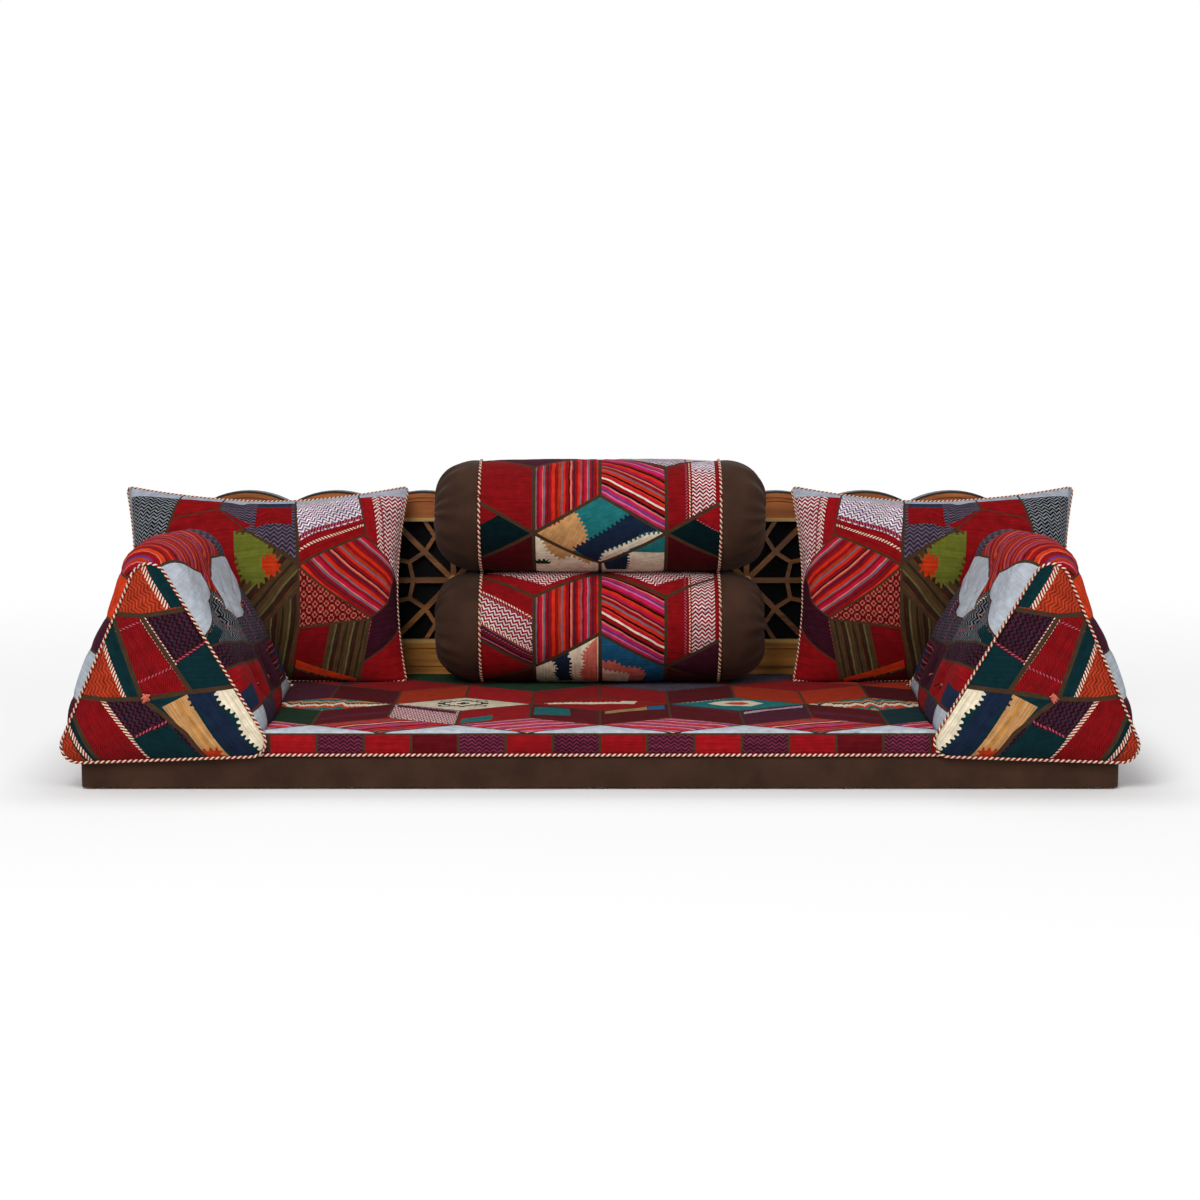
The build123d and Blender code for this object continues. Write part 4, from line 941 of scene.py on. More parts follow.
def spread(x, y, z, middle=852, foot=70):
    """The front of a filled wedge spreads at its foot and stands higher at the ridge."""
    share = np.clip((120 - y) / 380, 0, 1)
    share = share * share * (3 - 2 * share)
    flare = np.where(x < middle, 12, 0) * share * np.exp(-np.maximum(z - foot, 0) / 60)
    wider, higher = np.where(x < middle, .075, .05), np.where(z > foot, .042, 0)
    return middle + (x - middle) * (1 + wider * share) - flare, foot + (z - foot) * (1 + higher * share)


def on_line(w):
    """The point of the wedge's line at a distance from the ridge."""
    return np.interp(w, arc, line_x), np.interp(w, arc, line_z)


def wedge_shape(side):
    """The long cover: u runs from the front to the rear, and w from the ridge down its sides."""
    def shape(u, w, rise):
        x, z = on_line(w)
        ahead_x, ahead_z = np.subtract(on_line(w + 8), on_line(w - 8))
        size = np.maximum(np.hypot(ahead_x, ahead_z), 1e-6)
        out_x, out_z = -ahead_z / size, ahead_x / size
        ends = np.minimum(u - wedge_front, wedge_rear - u)
        full = (1 - np.exp(-np.maximum(ends, 0) / 26)) * (1 - np.exp(-np.maximum(z - seat, 0) / 22))
        # filled all over, more on its two sides, and most along the ridge
        bow = 12 * np.exp(-((np.abs(w) - 200) / 150) ** 2)
        crown = 17 * np.exp(-(w / 75) ** 2)
        lift = (17 + bow + crown) * full + rise * np.clip(ends / 10, 0, 1)
        # a hollow at each tuft, and two creases that run out of it
        for ty, tw in tufts:
            away = np.hypot(u - ty, (w - tw))
            lift -= hollow_deep * np.exp(-(away / 24) ** 1.4) * full
            for slant in (-.55, .75):
                crease = np.abs((u - ty) + (w - tw) * slant)
                lift -= crease_deep * np.exp(-(crease / 9) ** 2) * np.exp(-(away / 75) ** 2) * full
        lift += np.array([noise.noise((a * .011, b * .011, 5.0)) for a, b in zip(u, w)]) * 5 * full
        x, z = spread(x + out_x * lift, u, z + out_z * lift)
        return np.stack([side * x, u, np.maximum(z, seat)], 1)
    return shape


# f and b are the front and the rear of the sheet, w_in and w_out its ends under the wedge
w_in, w_out = float(arc[0]), float(arc[-1])
f, b = wedge_front, wedge_rear
wedge_patches = [
    # ridge
    ([(f, 46), (f, -20), (-330, -44), (-266, -65), (-258, -90), (-214, -133), (-206, -94), (-150, -70), (-205, 46)],
      "ember_stripes", 60, 1.0),
    ([(-205, 46), (-150, -70), (-90, -48), (20, -50), (-30, 46)], "ember_stripes", 28, 1.0),
    ([(-30, 46), (20, -50), (98, -56), (b, -40), (b, 46)], "dark_herringbone", 30, .8),
    # inner slope
    ([(f, -20), (-330, -44), (-266, -65), (-258, -90), (-266, -111), (-338, -140), (f, -172)], "linen_weave", 10, 1.05),
    ([(-232, -150), (-214, -133), (-206, -94), (-150, -70), (-90, -48), (20, -50), (98, -56), (70, -130), (10, -170),
       (-90, -182), (-180, -172)], "linen_weave", 60, 1.0),
    ([(98, -56), (b, -40), (b, -110), (70, -130)], "linen_weave", 0, .85),
    ([(f, -172), (-338, -140), (-266, -111), (-258, -90), (-214, -133), (-232, -150), (-180, -172), (-182, -229),
       (f, -190)], "grey_herringbone", 70, .36),
    ([(-180, -172), (-90, -182), (10, -170), (70, -130), (b, -110), (b, -210), (98, -245), (-40, -242), (-154, -235),
       (-182, -229)], "dark_herringbone", 20, .6),
    ([(f, -190), (-182, -229), (-154, -235), (-200, -262), (f, -240)], "ticked_plum", 20, .9),
    ([(f, -240), (-200, -262), (-210, -330), (-330, -330), (f, -330)], "madder_weave", 0, .95),
    ([(-200, -262), (-154, -235), (-40, -242), (-52, -340), (-210, -330)], "plum_weave", 0, .55),
    ([(-40, -242), (98, -245), (60, -343), (-52, -340)], "blanket_stripes", 0, .6),
    ([(98, -245), (b, -210), (b, -343), (60, -343)], "navy_weave", 0, 1.0),
    ([(f, -330), (-330, -330), (-330, w_in), (f, w_in)], "linen_weave", 0, .9),
    ([(-330, -330), (-210, -330), (-215, w_in), (-330, w_in)], "dusk_weave", 0, 1.0),
    ([(-210, -330), (-52, -340), (-50, w_in), (-215, w_in)], "madder_weave", 0, .8),
    ([(-52, -340), (60, -343), (b, -343), (b, w_in), (-50, w_in)], "linen_weave", 0, .8),
    # outer slope
    ([(f, 46), (-205, 46), (-240, 150), (f, 128)], "orange_weave", 70, .95),
    ([(-205, 46), (-30, 46), (-50, 150), (-240, 150)], "madder_weave", 0, .9),
    ([(-30, 46), (b, 46), (b, 140), (-50, 150)], "plum_herringbone", 0, .8),
    ([(f, 128), (-240, 150), (-250, 210), (f, 196)], "plum_weave", 0, .8),
    ([(-240, 150), (-50, 150), (-60, 262), (-250, 210)], "linen_weave", 0, .95),
    ([(-50, 150), (b, 140), (b, 250), (-60, 262)], "blanket_stripes", 0, 1.0),
    ([(f, 196), (-250, 210), (-262, 300), (f, 292)], "linen_weave", 0, .95),
    ([(-250, 210), (-60, 262), (-70, 360), (-262, 300)], "check_weave", 0, 1.0),
    ([(-60, 262), (b, 250), (b, 350), (-70, 360)], "orange_weave", 0, .8),
    ([(f, 292), (-262, 300), (-270, w_out), (f, w_out)], "plum_weave", 0, .85),
    ([(-262, 300), (-70, 360), (-70, w_out), (-270, w_out)], "madder_weave", 0, .9),
    ([(-70, 360), (b, 350), (b, w_out), (-70, w_out)], "dark_herringbone", 0, .9),
]
wedge_strips = [
    ([(f, -176), (-372, -160), (-356, -178), (f, -196)], "dark_teal_weave", 0, .8),
    strip((-330, -150), (-200, -212), 4, "dotted_stripe"), strip((-250, -118), (-196, -178), 4, "twisted_stripe"),
    strip((-70, -180), (-96, -236), 5, "dotted_stripe"), strip((40, -152), (20, -242), 4, "dotted_stripe"),
    ([(f, -290), (-350, -286), (-352, -325), (f, -328)], "navy_weave", 0, 1.2),
]
wedge_sheet = [(f, w_in), (b, w_in), (b, w_out), (f, w_out)]

panel_patches = [
    ([(865, 510), (965, 330), (924, 332), (869, 330), (797, 340), (749, 350)], "flame_herringbone", 62, .88),
    ([(1042, 182), (984, 332), (924, 332), (870, 178), (938, 176)], "flame_herringbone", 80, .85),
    ([(924, 332), (869, 330), (784, 191), (870, 178)], "dark_red_herringbone", 60, .95),
    ([(869, 330), (797, 340), (749, 350), (676, 199), (714, 197), (784, 191)], "ticked_plum", 60, .85),
    ([(1077, 184), (1021, 182), (948, 45), (1077, 39)], "flame_herringbone", 70, .8),
    ([(1021, 182), (938, 176), (870, 178), (838, 151), (799, 112), (760, 40), (948, 45)], "ticked_plum", 60, .95),
    ([(870, 178), (784, 191), (714, 197), (640, 199), (600, 40), (760, 40), (799, 112), (838, 151)], "dark_teal_weave",
      0, .9),
]
panel_strips = [
    ([(878, 452), (820, 343), (749, 350), (861, 518)], "dark_teal_weave", 60, .9),
    strip((884, 447), (822, 343), 9, "twisted_stripe"),
    ([(929, 330), (870, 178), (899, 177), (953, 309)], "dark_teal_weave", 65, .8),
    strip((953, 305), (902, 180), 8, "twisted_stripe"),
    strip((918, 298), (861, 324), 4, "dotted_stripe"), strip((878, 207), (807, 240), 4, "dotted_stripe"),
    strip((866, 326), (783, 192), 11, "twisted_stripe"),
    ([(809, 240), (758, 276), (700, 197), (784, 191)], "dark_teal_weave", 0, .8),
    strip((813, 243), (758, 280), 4, "dotted_stripe"),
    ([(1021, 180), (948, 50), (973, 47), (1038, 161)], "dark_teal_weave", 60, .75),
    strip((1031, 157), (963, 47), 8, "twisted_stripe"),
    ([(1014, 181), (944, 176), (853, 45), (948, 45)], "dark_red_herringbone", 60, .95),
    strip((944, 176), (851, 50), 8, "twisted_stripe"),
    strip((884, 107), (830, 136), 4, "dotted_stripe"),
    ([(888, 103), (826, 131), (768, 45), (849, 45)], "dark_teal_weave", 30, .75),
    ([(836, 163), (791, 186), (784, 170), (722, 50), (766, 50), (799, 112)], "sand_stripes", 62, 1.0),
    (jagged([(790, 190), (786, 168), (762, 146), (750, 108), (726, 74), (722, 45)]) +
     [(668, 45), (704, 116), (733, 161), (745, 196)], "navy_weave", 60, 1.0),
    (jagged([(746, 196), (734, 168), (708, 146), (700, 112), (676, 82), (672, 45)]) +
     [(610, 45), (645, 81), (683, 155), (708, 199)], "cream_weave", 60, 1.02),
    (jagged([(780, 80), (745, 84), (737, 45)]) + [(766, 45)], "rust_weave", 0, 1.15),
]


def panel_shape(side, face, outward, rim, floor):
    """An end panel, swelling from its seam: u runs outwards and w upwards."""
    def shape(u, w, rise):
        spot = np.stack([u, w], 1)
        gap = np.full(len(u), 1e9)
        for one, two in zip(rim, rim[1:] + rim[:1]):
            gap = np.minimum(gap, edge_gap(spot, one, two))
        swell = 25.0 * (1 - np.exp(-gap / 30)) + rise * np.clip(gap / 12, 0, 1)
        pucker = np.sin((u + w * 1.7) / 6.5) * .7 * np.exp(-gap / 14)
        x, z = spread(u, face, w)
        return np.stack([side * x, face + outward * (swell + pucker), np.maximum(z, floor)], 1)
    return shape


rear_blocks = tumbling_blocks((850, 260), 120, [(i, j) for i in (-2, -1, 0, 1) for j in (-2, -1, 0, 1)])
rear_patches = [(corners, spare[k % 7], 30 * (k % 3), .8) for k, corners in enumerate(rear_blocks.values())]
rear_rim = [(in_base.x, seat), (out_base.x, seat)] + end_outline[18:]
for side, word in ((-1, "left"), (1, "right")):
    body = "wedge_" + word
    cover = sew(f"{body}_cover_cloth", wedge_sheet, wedge_patches, wedge_strips, wedge_shape(side), 9.0, 3.2, 2.2)
    dress(cover, body, [body + "_cover", body + "_core"])
    front = sew(f"{body}_front_cloth", end_outline, panel_patches, panel_strips,
                panel_shape(side, wedge_front, -1, end_outline, 40), 6.5, 2.2, 4.2)
    dress(front, body, [body + "_front_panel"])
    rear = sew(f"{body}_rear_cloth", rear_rim, rear_patches, [],
               panel_shape(side, wedge_rear, 1, rear_rim, seat), 10, 2.2)
    dress(rear, body, [body + "_rear_panel"])
    seam = triangle(2.2)
    front_line = [spread(x, wedge_front, z) for x, z in seam]
    front_line = [(side * float(x), wedge_front - 1.5, float(z)) for x, z in front_line]
    rear_line = [(side * x, wedge_rear + 1.5, max(z, seat + 3)) for x, z in seam]
    cords = [twisted_cord(f"{body}_{end}_cord", line, 2.9, 10.5)
             for end, line in (("front", front_line), ("rear", rear_line))]
    dress(merged(body + "_twisted_cords", cords), body, [body + "_cords"])
    # yarn tufts pulled through the buttons, and a pink one on the front
    knots = []
    for y, w in tufts:
        x, z = (float(p) for p in on_line(w))
        x, z = spread(x, y, z)
        way = Vector((.875 if w > 0 else -.875, 0, .484))
        base = Vector((x, y, z)) + way * 13
        for k in range(4):
            swing = Vector((chance.uniform(-1, 1), chance.uniform(-1, 1), chance.uniform(-1.2, .2))) * 8
            path = [base, base + way * 5 + swing * .3, base + way * 6 + swing, base + way * 3 + swing * 1.7]
            path = [(side * p.x, p.y, p.z) for p in path]
            knots.append(strand("tuft", path, 1.2, 5, False, dark_yarn if k % 2 else pink_yarn))
    for k in range(13):
        drop = Vector((chance.uniform(-9, 9), -2 - chance.random() * 2, -chance.uniform(-2, 17)))
        top = Vector((862, wedge_front - 24.5, 191))
        path = [top, top + Vector((drop.x * .3, -3.5, -2)), top + drop * .6 + Vector((0, -2, 0)), top + drop]
        knots.append(strand("tuft", [(side * p.x, p.y, p.z) for p in path], 1.9, 5, False, pink_yarn))
    dress(merged(body + "_yarn_tufts", knots), body, [])


# Pillows: two cloths sewn edge to edge and blown up under pressure
half_wide, half_high, plump_depth = 312.0, 219.0, 120.0


def blown_pillow(wide, high, across, up, force, frames):
    """A flat envelope filled until it is plump; returns both faces as grids in metres."""
    form = bmesh.new()
    grids = []
    for face in (-1, 1):
        grid = {}
        for r in range(up + 1):
            for c in range(across + 1):
                edge = r in (0, up) or c in (0, across)
                if face == 1 and edge:
                    grid[r, c] = grids[0][r, c]
                else:
                    x, y = (c / across - .5) * wide, (r / up - .5) * high
                    z = 0 if edge else face * (.004 + .002 * noise.noise((x * 9, y * 9, face)))
                    grid[r, c] = form.verts.new((x, y, z))
        grids.append(grid)
        for r in range(up):
            for c in range(across):
                quad = (grid[r, c], grid[r, c + 1], grid[r + 1, c + 1], grid[r + 1, c])
                form.faces.new(quad if face == 1 else quad[::-1])
    form.verts.index_update()
    index = [[[g[r, c].index for c in range(across + 1)] for r in range(up + 1)] for g in grids]
    mesh = bpy.data.meshes.new("envelope")
    form.to_mesh(mesh)
    form.free()
    bag = linked("envelope", mesh)
    filling = bag.modifiers.new("filling", "CLOTH")
    facts = filling.settings
    facts.quality, facts.mass = 6, .25
    facts.tension_stiffness = facts.compression_stiffness = 40
    facts.shear_stiffness, facts.bending_stiffness = 20, .6
    facts.use_pressure, facts.uniform_pressure_force = True, force
    facts.effector_weights.gravity = 0
    filling.collision_settings.use_collision = False
    filling.point_cache.frame_end = frames
    for frame_number in range(1, frames + 1):
        bpy.context.scene.frame_set(frame_number)
    done = bag.evaluated_get(bpy.context.evaluated_depsgraph_get())
    spots = np.array([v.co[:] for v in done.data.vertices])
    bpy.data.objects.remove(bag)
    bpy.context.scene.frame_set(1)
    return [spots[np.array(g)] for g in index]


faces_blown = blown_pillow(.70, .50, 70, 50, 9.0, 26)
size_now = np.max([g.max(axis=(0, 1)) for g in faces_blown], axis=0)
size_now = size_now - np.min([g.min(axis=(0, 1)) for g in faces_blown], axis=0)
fit = np.array([2 * half_wide, 2 * half_high, plump_depth]) / size_now
faces_blown = [g * fit for g in faces_blown]
# the four ears sit square, whatever the filling did to them
rows, columns = faces_blown[0].shape[:2]
across_share, up_share = np.meshgrid(np.linspace(0, 1, columns), np.linspace(0, 1, rows))
for grid in faces_blown:
    shift = np.zeros_like(grid)
    for r, c in ((0, 0), (0, -1), (-1, 0), (-1, -1)):
        weight = (up_share if r else 1 - up_share) * (across_share if c else 1 - across_share)
        ear = np.array([half_wide if c else -half_wide, half_high if r else -half_high, 0])
        shift += weight[:, :, None] * (ear - grid[r, c])
    grid += shift
# the fine crumples are pressed out, the broad folds stay
for grid in faces_blown:
    for _ in range(5):
        near = grid[:-2, 1:-1] + grid[2:, 1:-1] + grid[1:-1, :-2] + grid[1:-1, 2:]
        grid[1:-1, 1:-1] = (grid[1:-1, 1:-1] * 2 + near) / 6
for _ in range(12):
    for rim in (np.s_[0, :], np.s_[-1, :], np.s_[:, 0], np.s_[:, -1]):
        line = faces_blown[0][rim].copy()
        line[1:-1] = (line[1:-1] * 2 + line[:-2] + line[2:]) / 4
        faces_blown[0][rim] = line
        faces_blown[1][rim] = line
# the four edges take the outline of a sewn pillow, drawn in between its ears
sag = 1 - np.linspace(-1, 1, columns) ** 2
bow = 1 - np.linspace(-1, 1, rows) ** 2
top, foot = faces_blown[0][-1, :, 1].copy(), faces_blown[0][0, :, 1].copy()
left_edge, right_edge = faces_blown[0][:, 0, 0].copy(), faces_blown[0][:, -1, 0].copy()
for grid in faces_blown:
    grid[:, :, 1] *= np.where(grid[:, :, 1] > 0, ((half_high - 34 * sag) / top)[None, :],
                              ((-half_high + 8 * sag) / foot)[None, :])
    grid[:, :, 0] *= np.where(grid[:, :, 0] > 0, ((half_wide - 24 * bow) / right_edge)[:, None],
                              ((-half_wide + 24 * bow) / left_edge)[:, None])
# the rows next to the seam stay inside it, one after the other
for grid in faces_blown:
    for k in range(1, 10):
        inside = 2.2 * k
        grid[-1 - k, :, 1] = np.minimum(grid[-1 - k, :, 1], grid[-1, :, 1] - inside)
        grid[k, :, 1] = np.maximum(grid[k, :, 1], grid[0, :, 1] + inside)
        grid[:, k, 0] = np.maximum(grid[:, k, 0], grid[:, 0, 0] + inside)
        grid[:, -1 - k, 0] = np.minimum(grid[:, -1 - k, 0], grid[:, -1, 0] - inside)
lean = math.radians(13)                          # how far a pillow leans back
pillow_x, pillow_y, pillow_z = 733, 262.1, 320.0


def pillow_shape(side, grid, sign):
    """A face of the pillow in its place: u runs away from its arm, and w upwards."""
    def shape(u, w, rise):
        c = np.clip((u + half_wide) / (2 * half_wide), 0, 1) * (columns - 1)
        r = np.clip((w + half_high) / (2 * half_high), 0, 1) * (rows - 1)
        c0, r0 = np.minimum(c.astype(int), columns - 2), np.minimum(r.astype(int), rows - 2)
        cs, rs = (c - c0)[:, None], (r - r0)[:, None]
        below = grid[r0, c0] * (1 - cs) + grid[r0, c0 + 1] * cs
        above = grid[r0 + 1, c0] * (1 - cs) + grid[r0 + 1, c0 + 1] * cs
        spot = below * (1 - rs) + above * rs
        edge = np.minimum(half_wide - np.abs(u), half_high - np.abs(w))
        deep = spot[:, 2] + sign * rise * np.clip(edge / 14, 0, 1)
        x = side * pillow_x + spot[:, 0] * -side
        y = pillow_y + spot[:, 1] * math.sin(lean) - deep * math.cos(lean)
        z = pillow_z + spot[:, 1] * math.cos(lean) + deep * math.sin(lean)
        return np.stack([x, np.minimum(y, back_face - .1), np.maximum(z, seat)], 1)
    return shape


# the left pillow's patches as in the photo, mirrored on the right; h and v are half the envelope's size
h, v = half_wide, half_high
pillow_patches = [
    ([(-h, v), (-195, v), (-203, 78), (-h, 90)], "grey_herringbone", 0, .5),
    ([(-195, v), (-110, v), (-110, 150), (-199, 130)], "madder_weave", 0, .95),
    ([(-110, v), (60, v), (60, 30), (-20, 70), (-110, 150)], "dark_herringbone", 0, .9),
    ([(60, v), (206, v), (206, 96), (64, 24)], "mauve_herringbone", 25, 1.0),
    ([(206, v), (h, v), (h, 0), (287, 24), (206, 96)], "rose_herringbone", 0, .9),
    ([(64, 24), (206, 96), (287, 24), (249, -38), (209, -62)], "upright_stripes", -33, 1.05),
    ([(64, 24), (209, -62), (209, -66), (68, -66)], "little_diamonds", 0, .72),
    ([(-199, 130), (-110, 150), (-20, 70), (64, 24), (64, -10), (-10, -60), (-90, -30), (-203, 60)], "khaki_plaid", 40,
      1.0),
    ([(-h, 90), (-203, 78), (-203, 60), (-90, -30), (-10, -60), (64, -10), (68, -66), (70, -v), (-h, -v)],
      "khaki_plaid", 90, .9),
    ([(68, -66), (209, -66), (211, -v), (70, -v)], "khaki_plaid", 90, .95),
    ([(209, -62), (249, -38), (287, 24), (h, 0), (h, -90), (211, -150)], "plum_weave", 0, .55),
    ([(211, -150), (h, -90), (h, -v), (211, -v)], "madder_weave", 0, .9),
]
pillow_strips = [
    ([(-110, 150), (-30, 106), (-66, 84), (-56, 40), (-44, 10), (-36, -49), (-90, -30), (-203, 60), (-199, 130)],
      "madder_weave", 0, .85),
    (jagged([(-66, 84), (-30, 78), (2, 56), (20, 40)]) + jagged([(22, 24), (-8, -4), (-40, 4), (-56, 40)]),
      "olive_weave", 0, 1.25),
    (jagged([(-6, 34), (10, 42), (24, 34), (30, 18), (10, 6), (-4, 16)]), "orange_weave", 0, .8),
    ([(-26, 150), (52, 150), (52, 94), (-26, 94)], "madder_weave", 0, .85),
    ([(-26, v), (52, v), (52, 152), (-26, 152)], "navy_weave", 0, 1.5),
    strip((60, 62), (206, 134), 6, "dotted_stripe"),
    ([(60, 56), (206, 128), (206, 96), (64, 24)], "madder_weave", 26, .95),
    strip((62, 44), (206, 116), 4, "twisted_stripe"),
    ([(206, v), (232, v), (232, 76), (206, 96)], "madder_weave", 90, 1.1),
    strip((240, v), (240, 68), 4, "twisted_stripe"), strip((248, v), (248, 60), 3, "dotted_stripe"),
    ([(70, -66), (130, -66), (130, -150), (70, -140)], "madder_weave", 0, .62),
    ([(76, -128), (205, -196), (205, -214), (76, -150)], "orange_weave", -28, .75),
    ([(76, -156), (180, -210), (76, -212)], "maroon_weave", -28, 1.0),
    strip((211, -70), (211, -205), 3, "dotted_stripe"),
    ([(-h, v), (h, v), (h, v - 26), (160, v - 30), (-160, v - 30), (-h, v - 26)], "heather_weave", 0, 1.75),
    ([(-h, v), (-h + 12, v), (-h + 12, -v), (-h, -v)], "heather_weave", 90, 1.1),
]
margin = 15                                      # how far the sheets are cut inside the envelope
pillow_sheet = round_corners((-h + margin, -v + margin), (h - margin, v - margin), margin)
for side, word in ((-1, "left"), (1, "right")):
    body = "pillow_" + word
    front_face, rear_face = pillow_shape(side, faces_blown[1], 1), pillow_shape(side, faces_blown[0], -1)
    front = sew(f"{body}_front_cloth", pillow_sheet, pillow_patches, pillow_strips, front_face, 8.0, 2.0, 1.8)
    dress(front, body, [body + "_cover_front", body + "_insert"])
    back = sew(f"{body}_back_cloth", pillow_sheet, [], [], rear_face, 11.0, 0, 0, "heather_weave")
    dress(back, body, [body + "_cover_back"])
    rim = []
    for one, two in zip(pillow_sheet, pillow_sheet[1:] + pillow_sheet[:1]):
        count = max(1, round(math.dist(one, two) / 10))
        rim += [along(one, two, k / count) for k in range(count)]
    line = front_face(*np.array(rim).T, np.zeros(len(rim)))
    line = [(x, min(y, back_face - 2.6), max(z, seat + 2.4)) for x, y, z in line]
    dress(twisted_cord(body + "_welt_cord", line, 2.3, 9.0), body, [body + "_welt"])


# Timber, metal, foam and plain finishes for the solids that show as they are
def timber(name, dark, light, gloss, upright=False):
    """Stained timber: long grain with pores, and paler or darker boards."""
    g = Finish(name)
    place = g.add("TexCoord").outputs["Object"]
    scales = (60, 60, 3) if upright else (3, 60, 60)
    rings = g.cloud(g.stretch(place, *scales), 1.0, 4.0, .6)
    pores = g.cloud(g.stretch(place, *(s * 9 for s in scales)), 1.0, 3.0, .6)
    board = g.cloud(g.stretch(place, 1.3, 1.3, 1.3), 1.0)
    dyed = g.blend("MIX", g.soft(rings, 0, 1, .32, .66), linear(dark), linear(light))
    dyed = g.blend("MULTIPLY", .55, dyed, g.soft(pores, .45, 1.25))
    dyed = g.blend("MULTIPLY", .6, dyed, g.soft(board, .75, 1.2))
    rough = g.soft(pores, gloss, gloss + .2)
    return g.settle(dyed, rough, g.sum("MULTIPLY_ADD", rings, .6, pores), .25, .0008, specular=.3)


def plain_finish(name, shade, rough=.95, metal=0.0, size=.7, depth=.0005, mottle=.3):
    """Foam, felt and plated steel: a mottled colour with a fine relief."""
    g = Finish(name)
    place = g.own_place()
    fine = g.cloud(g.stretch(place, size, size, size), 1.0, 3.0, .6)
    broad = g.cloud(g.stretch(place, .02, .02, .02), 1.0)
    dyed = g.blend("MULTIPLY", mottle, linear(shade), g.soft(fine, .5, 1.3))
    dyed = g.blend("MULTIPLY", mottle, dyed, g.soft(broad, .7, 1.2))
    return g.settle(dyed, rough, fine, .4, depth, metal=metal)


button_cloth = suede("button_suede", "suede", .024)
foam = plain_finish("cushion_foam", (.86, .80, .62), size=.8)
steel = plain_finish("plated_steel", (.70, .70, .68), .3, 1.0, .1, .0002, .15)
dressed_solids = (
    (steel, "back_bolts platform_screws"),
    (foam, "mattress_foam bolster_lower_core bolster_upper_core"),
    (brown_suede, "platform_skirt"),
    (button_cloth, "bolster_lower_buttons bolster_upper_buttons wedge_left_buttons wedge_right_buttons"),
    (suede("black_lining_felt", "lining_black", .012), "back_lining"),
    (plain_finish("glide_felt", (.35, .34, .34), size=.9), "felt_glides"),
    (plain_finish("underside_calico", (.24, .20, .19)), "mattress_underside"),
    (timber("rail_timber", (.48, .25, .10), (.72, .42, .20), .5), "back_top_rail"),
    (timber("post_timber", (.46, .24, .10), (.68, .40, .19), .5, True), "back_post_left back_post_right"),
    (timber("dark_edge_timber", (.10, .07, .05), (.17, .11, .08), .45), "crest_band"),
    (timber("pale_bead_timber", (.62, .46, .24), (.80, .64, .38), .5), "opening_beads lattice_bosses"),
    (timber("ochre_rail_timber", (.50, .30, .10), (.74, .50, .20), .5), "back_bottom_rail"),
    (timber("varnished_lattice", (.30, .165, .06), (.58, .36, .15), .26),
     "lattice_panel_1 lattice_panel_2 lattice_panel_3 lattice_panel_4 lattice_panel_5"),
    (timber("frame_pine", (.70, .52, .32), (.82, .66, .44), .6),
     "platform_front_rail platform_back_rail platform_side_rail_left platform_side_rail_right"
     " platform_cross_rails corner_blocks"),
    (timber("deck_plywood", (.68, .52, .34), (.80, .66, .47), .6), "deck_panels"),
)
for finish, node_names in dressed_solids:
    for node_name in node_names.split():
        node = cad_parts[node_name]
        if not node.material_slots:
            node.data.materials.append(finish)
        for held in node.material_slots:
            held.material = finish


# Pale floor with a painted shadow round the sofa's foot, white surround, soft light and the camera
def seen_straight(tree):
    """1 for a ray from the camera, a mirror or glass, and 0 for light on its way to the sofa."""
    rays = tree.add("LightPath").outputs
    both = tree.sum("ADD", rays["Is Camera Ray"], rays["Is Glossy Ray"])
    return tree.add("Math", both, rays["Is Transmission Ray"], operation="ADD", use_clamp=True).outputs[0]


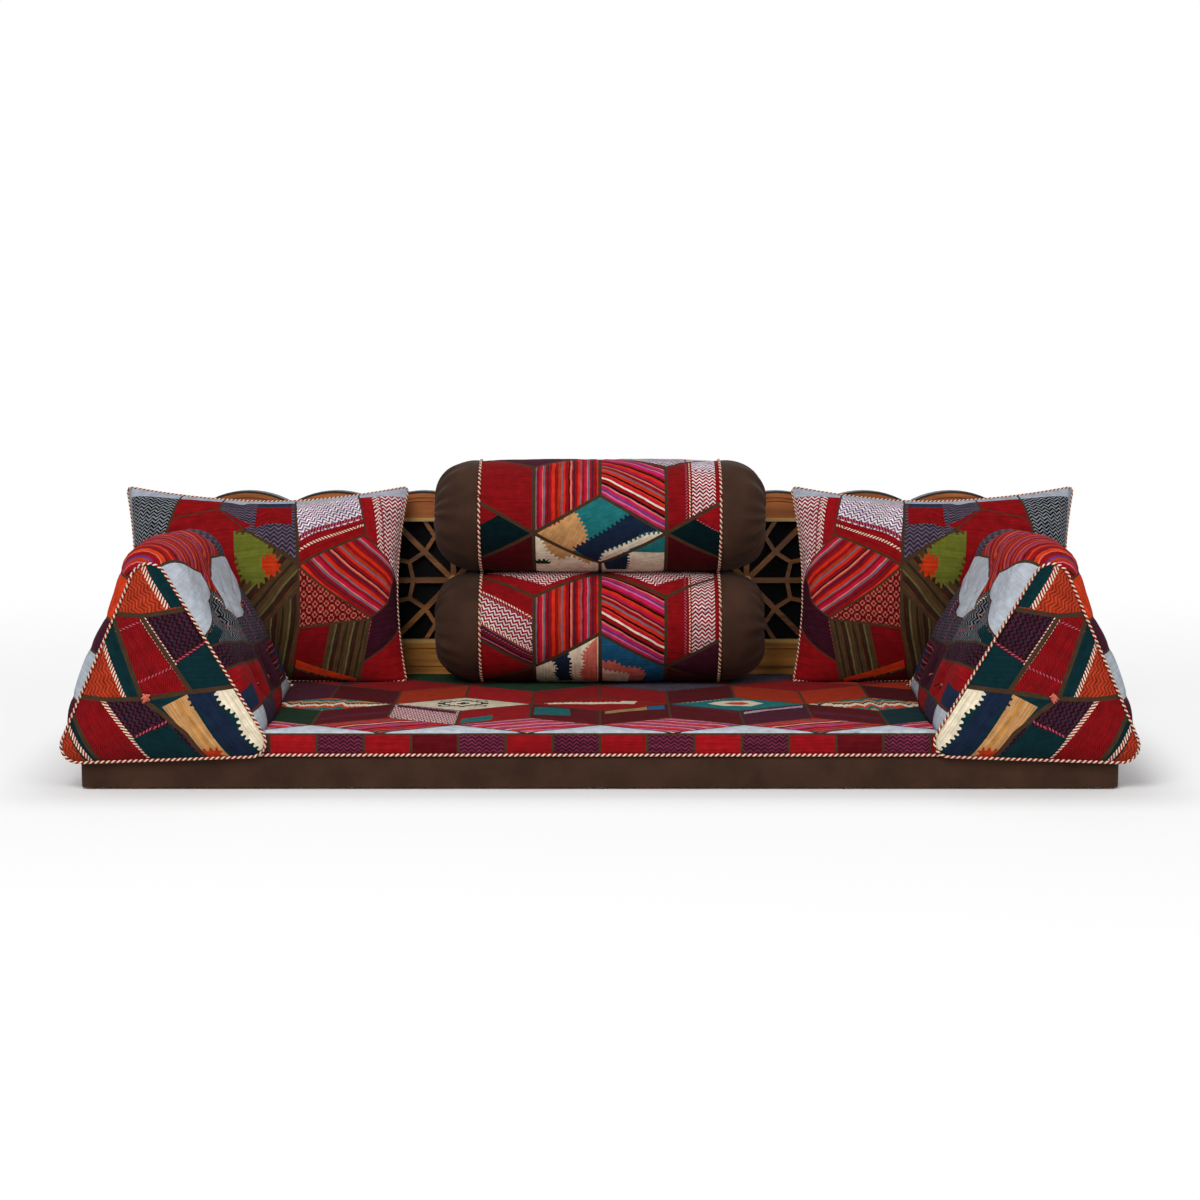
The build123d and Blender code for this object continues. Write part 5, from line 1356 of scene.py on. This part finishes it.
def floor_with_painted_shadow(name, shade, glow, half=(1.03, .40), behind=.03):
    """A floor that reads as white and still takes the real shadow; its glow is held low near the sofa's foot, a painted
    shadow round the base, and grows to full white far away.
    """
    material = bpy.data.materials.new(name)
    tree = Nodes(material)
    place = tree.add("TexCoord").outputs["Object"]
    for step, amount in (("ADD", (0, behind, 0)), ("ABSOLUTE", None), ("SUBTRACT", half + (0,)),
                         ("MAXIMUM", (0, 0, 0)), ("LENGTH", None)):
        reach = tree.add("VectorMath", place, *([amount] if amount else []), operation=step)
        place = reach.outputs["Value" if step == "LENGTH" else "Vector"]
    # painted shadow: the glow is nought at the sofa's foot and reaches its share 20 cm out, so the floor there reads
    # darker under any light
    near = tree.add("MapRange", place, 0.0, .2, 0.0, glow, interpolation_type="SMOOTHSTEP")
    painted_shadow_glow = tree.add("MapRange", place, .25, 2.6, near.outputs[0], 1.0, interpolation_type="SMOOTHSTEP")
    share = tree.sum("MULTIPLY", seen_straight(tree), painted_shadow_glow.outputs[0])
    matt, light = tree.add("BsdfDiffuse", shade + (1,)), tree.add("Emission")
    mix = tree.add("MixShader", share, matt.outputs[0], light.outputs[0])
    tree.add("OutputMaterial", mix.outputs[0])
    return material


bpy.ops.mesh.primitive_plane_add(size=60, location=(0, 0, 0))
floor = bpy.context.object
floor.name = "pale_floor"
floor.data.materials.append(floor_with_painted_shadow("floor_white_painted_shadow", (.86, .86, .86), .72))
world = bpy.data.worlds.new("white_room")
bpy.context.scene.world = world
air = Nodes(world)
room, white = (air.add("Background", (1, 1, 1, 1), strength).outputs[0] for strength in (.37, 1.0))
air.add("OutputWorld", air.add("MixShader", seen_straight(air), room, white).outputs[0])

for name, place, aim, size, watts in (("soft_key", (-1.6, -3.6, 3.6), (0, 0, .3), 2.6, 165),
                                      ("soft_fill", (2.6, -3.0, 2.2), (0, 0, .3), 2.6, 50),
                                      ("rear_fill", (0, 3.2, 3.2), (0, .3, .3), 3.0, 40)):
    data = bpy.data.lights.new(name, "AREA")
    data.shape, data.size, data.energy = "SQUARE", size, watts
    light = linked(name, data)
    light.location = place
    light.rotation_mode = "QUATERNION"
    light.rotation_quaternion = (Vector(aim) - Vector(place)).to_track_quat("-Z", "Y")
seeing = bpy.data.cameras.new("studio_camera")
seeing.lens, seeing.sensor_width, seeing.sensor_fit = 68.2, 36, "AUTO"
camera = linked("studio_camera", seeing)
camera.location = (0, -4.70, .894)
camera.rotation_euler = (math.radians(90 - 6.98), 0, 0)
bpy.context.scene.camera = camera
bpy.context.scene.view_settings.view_transform = "Standard"
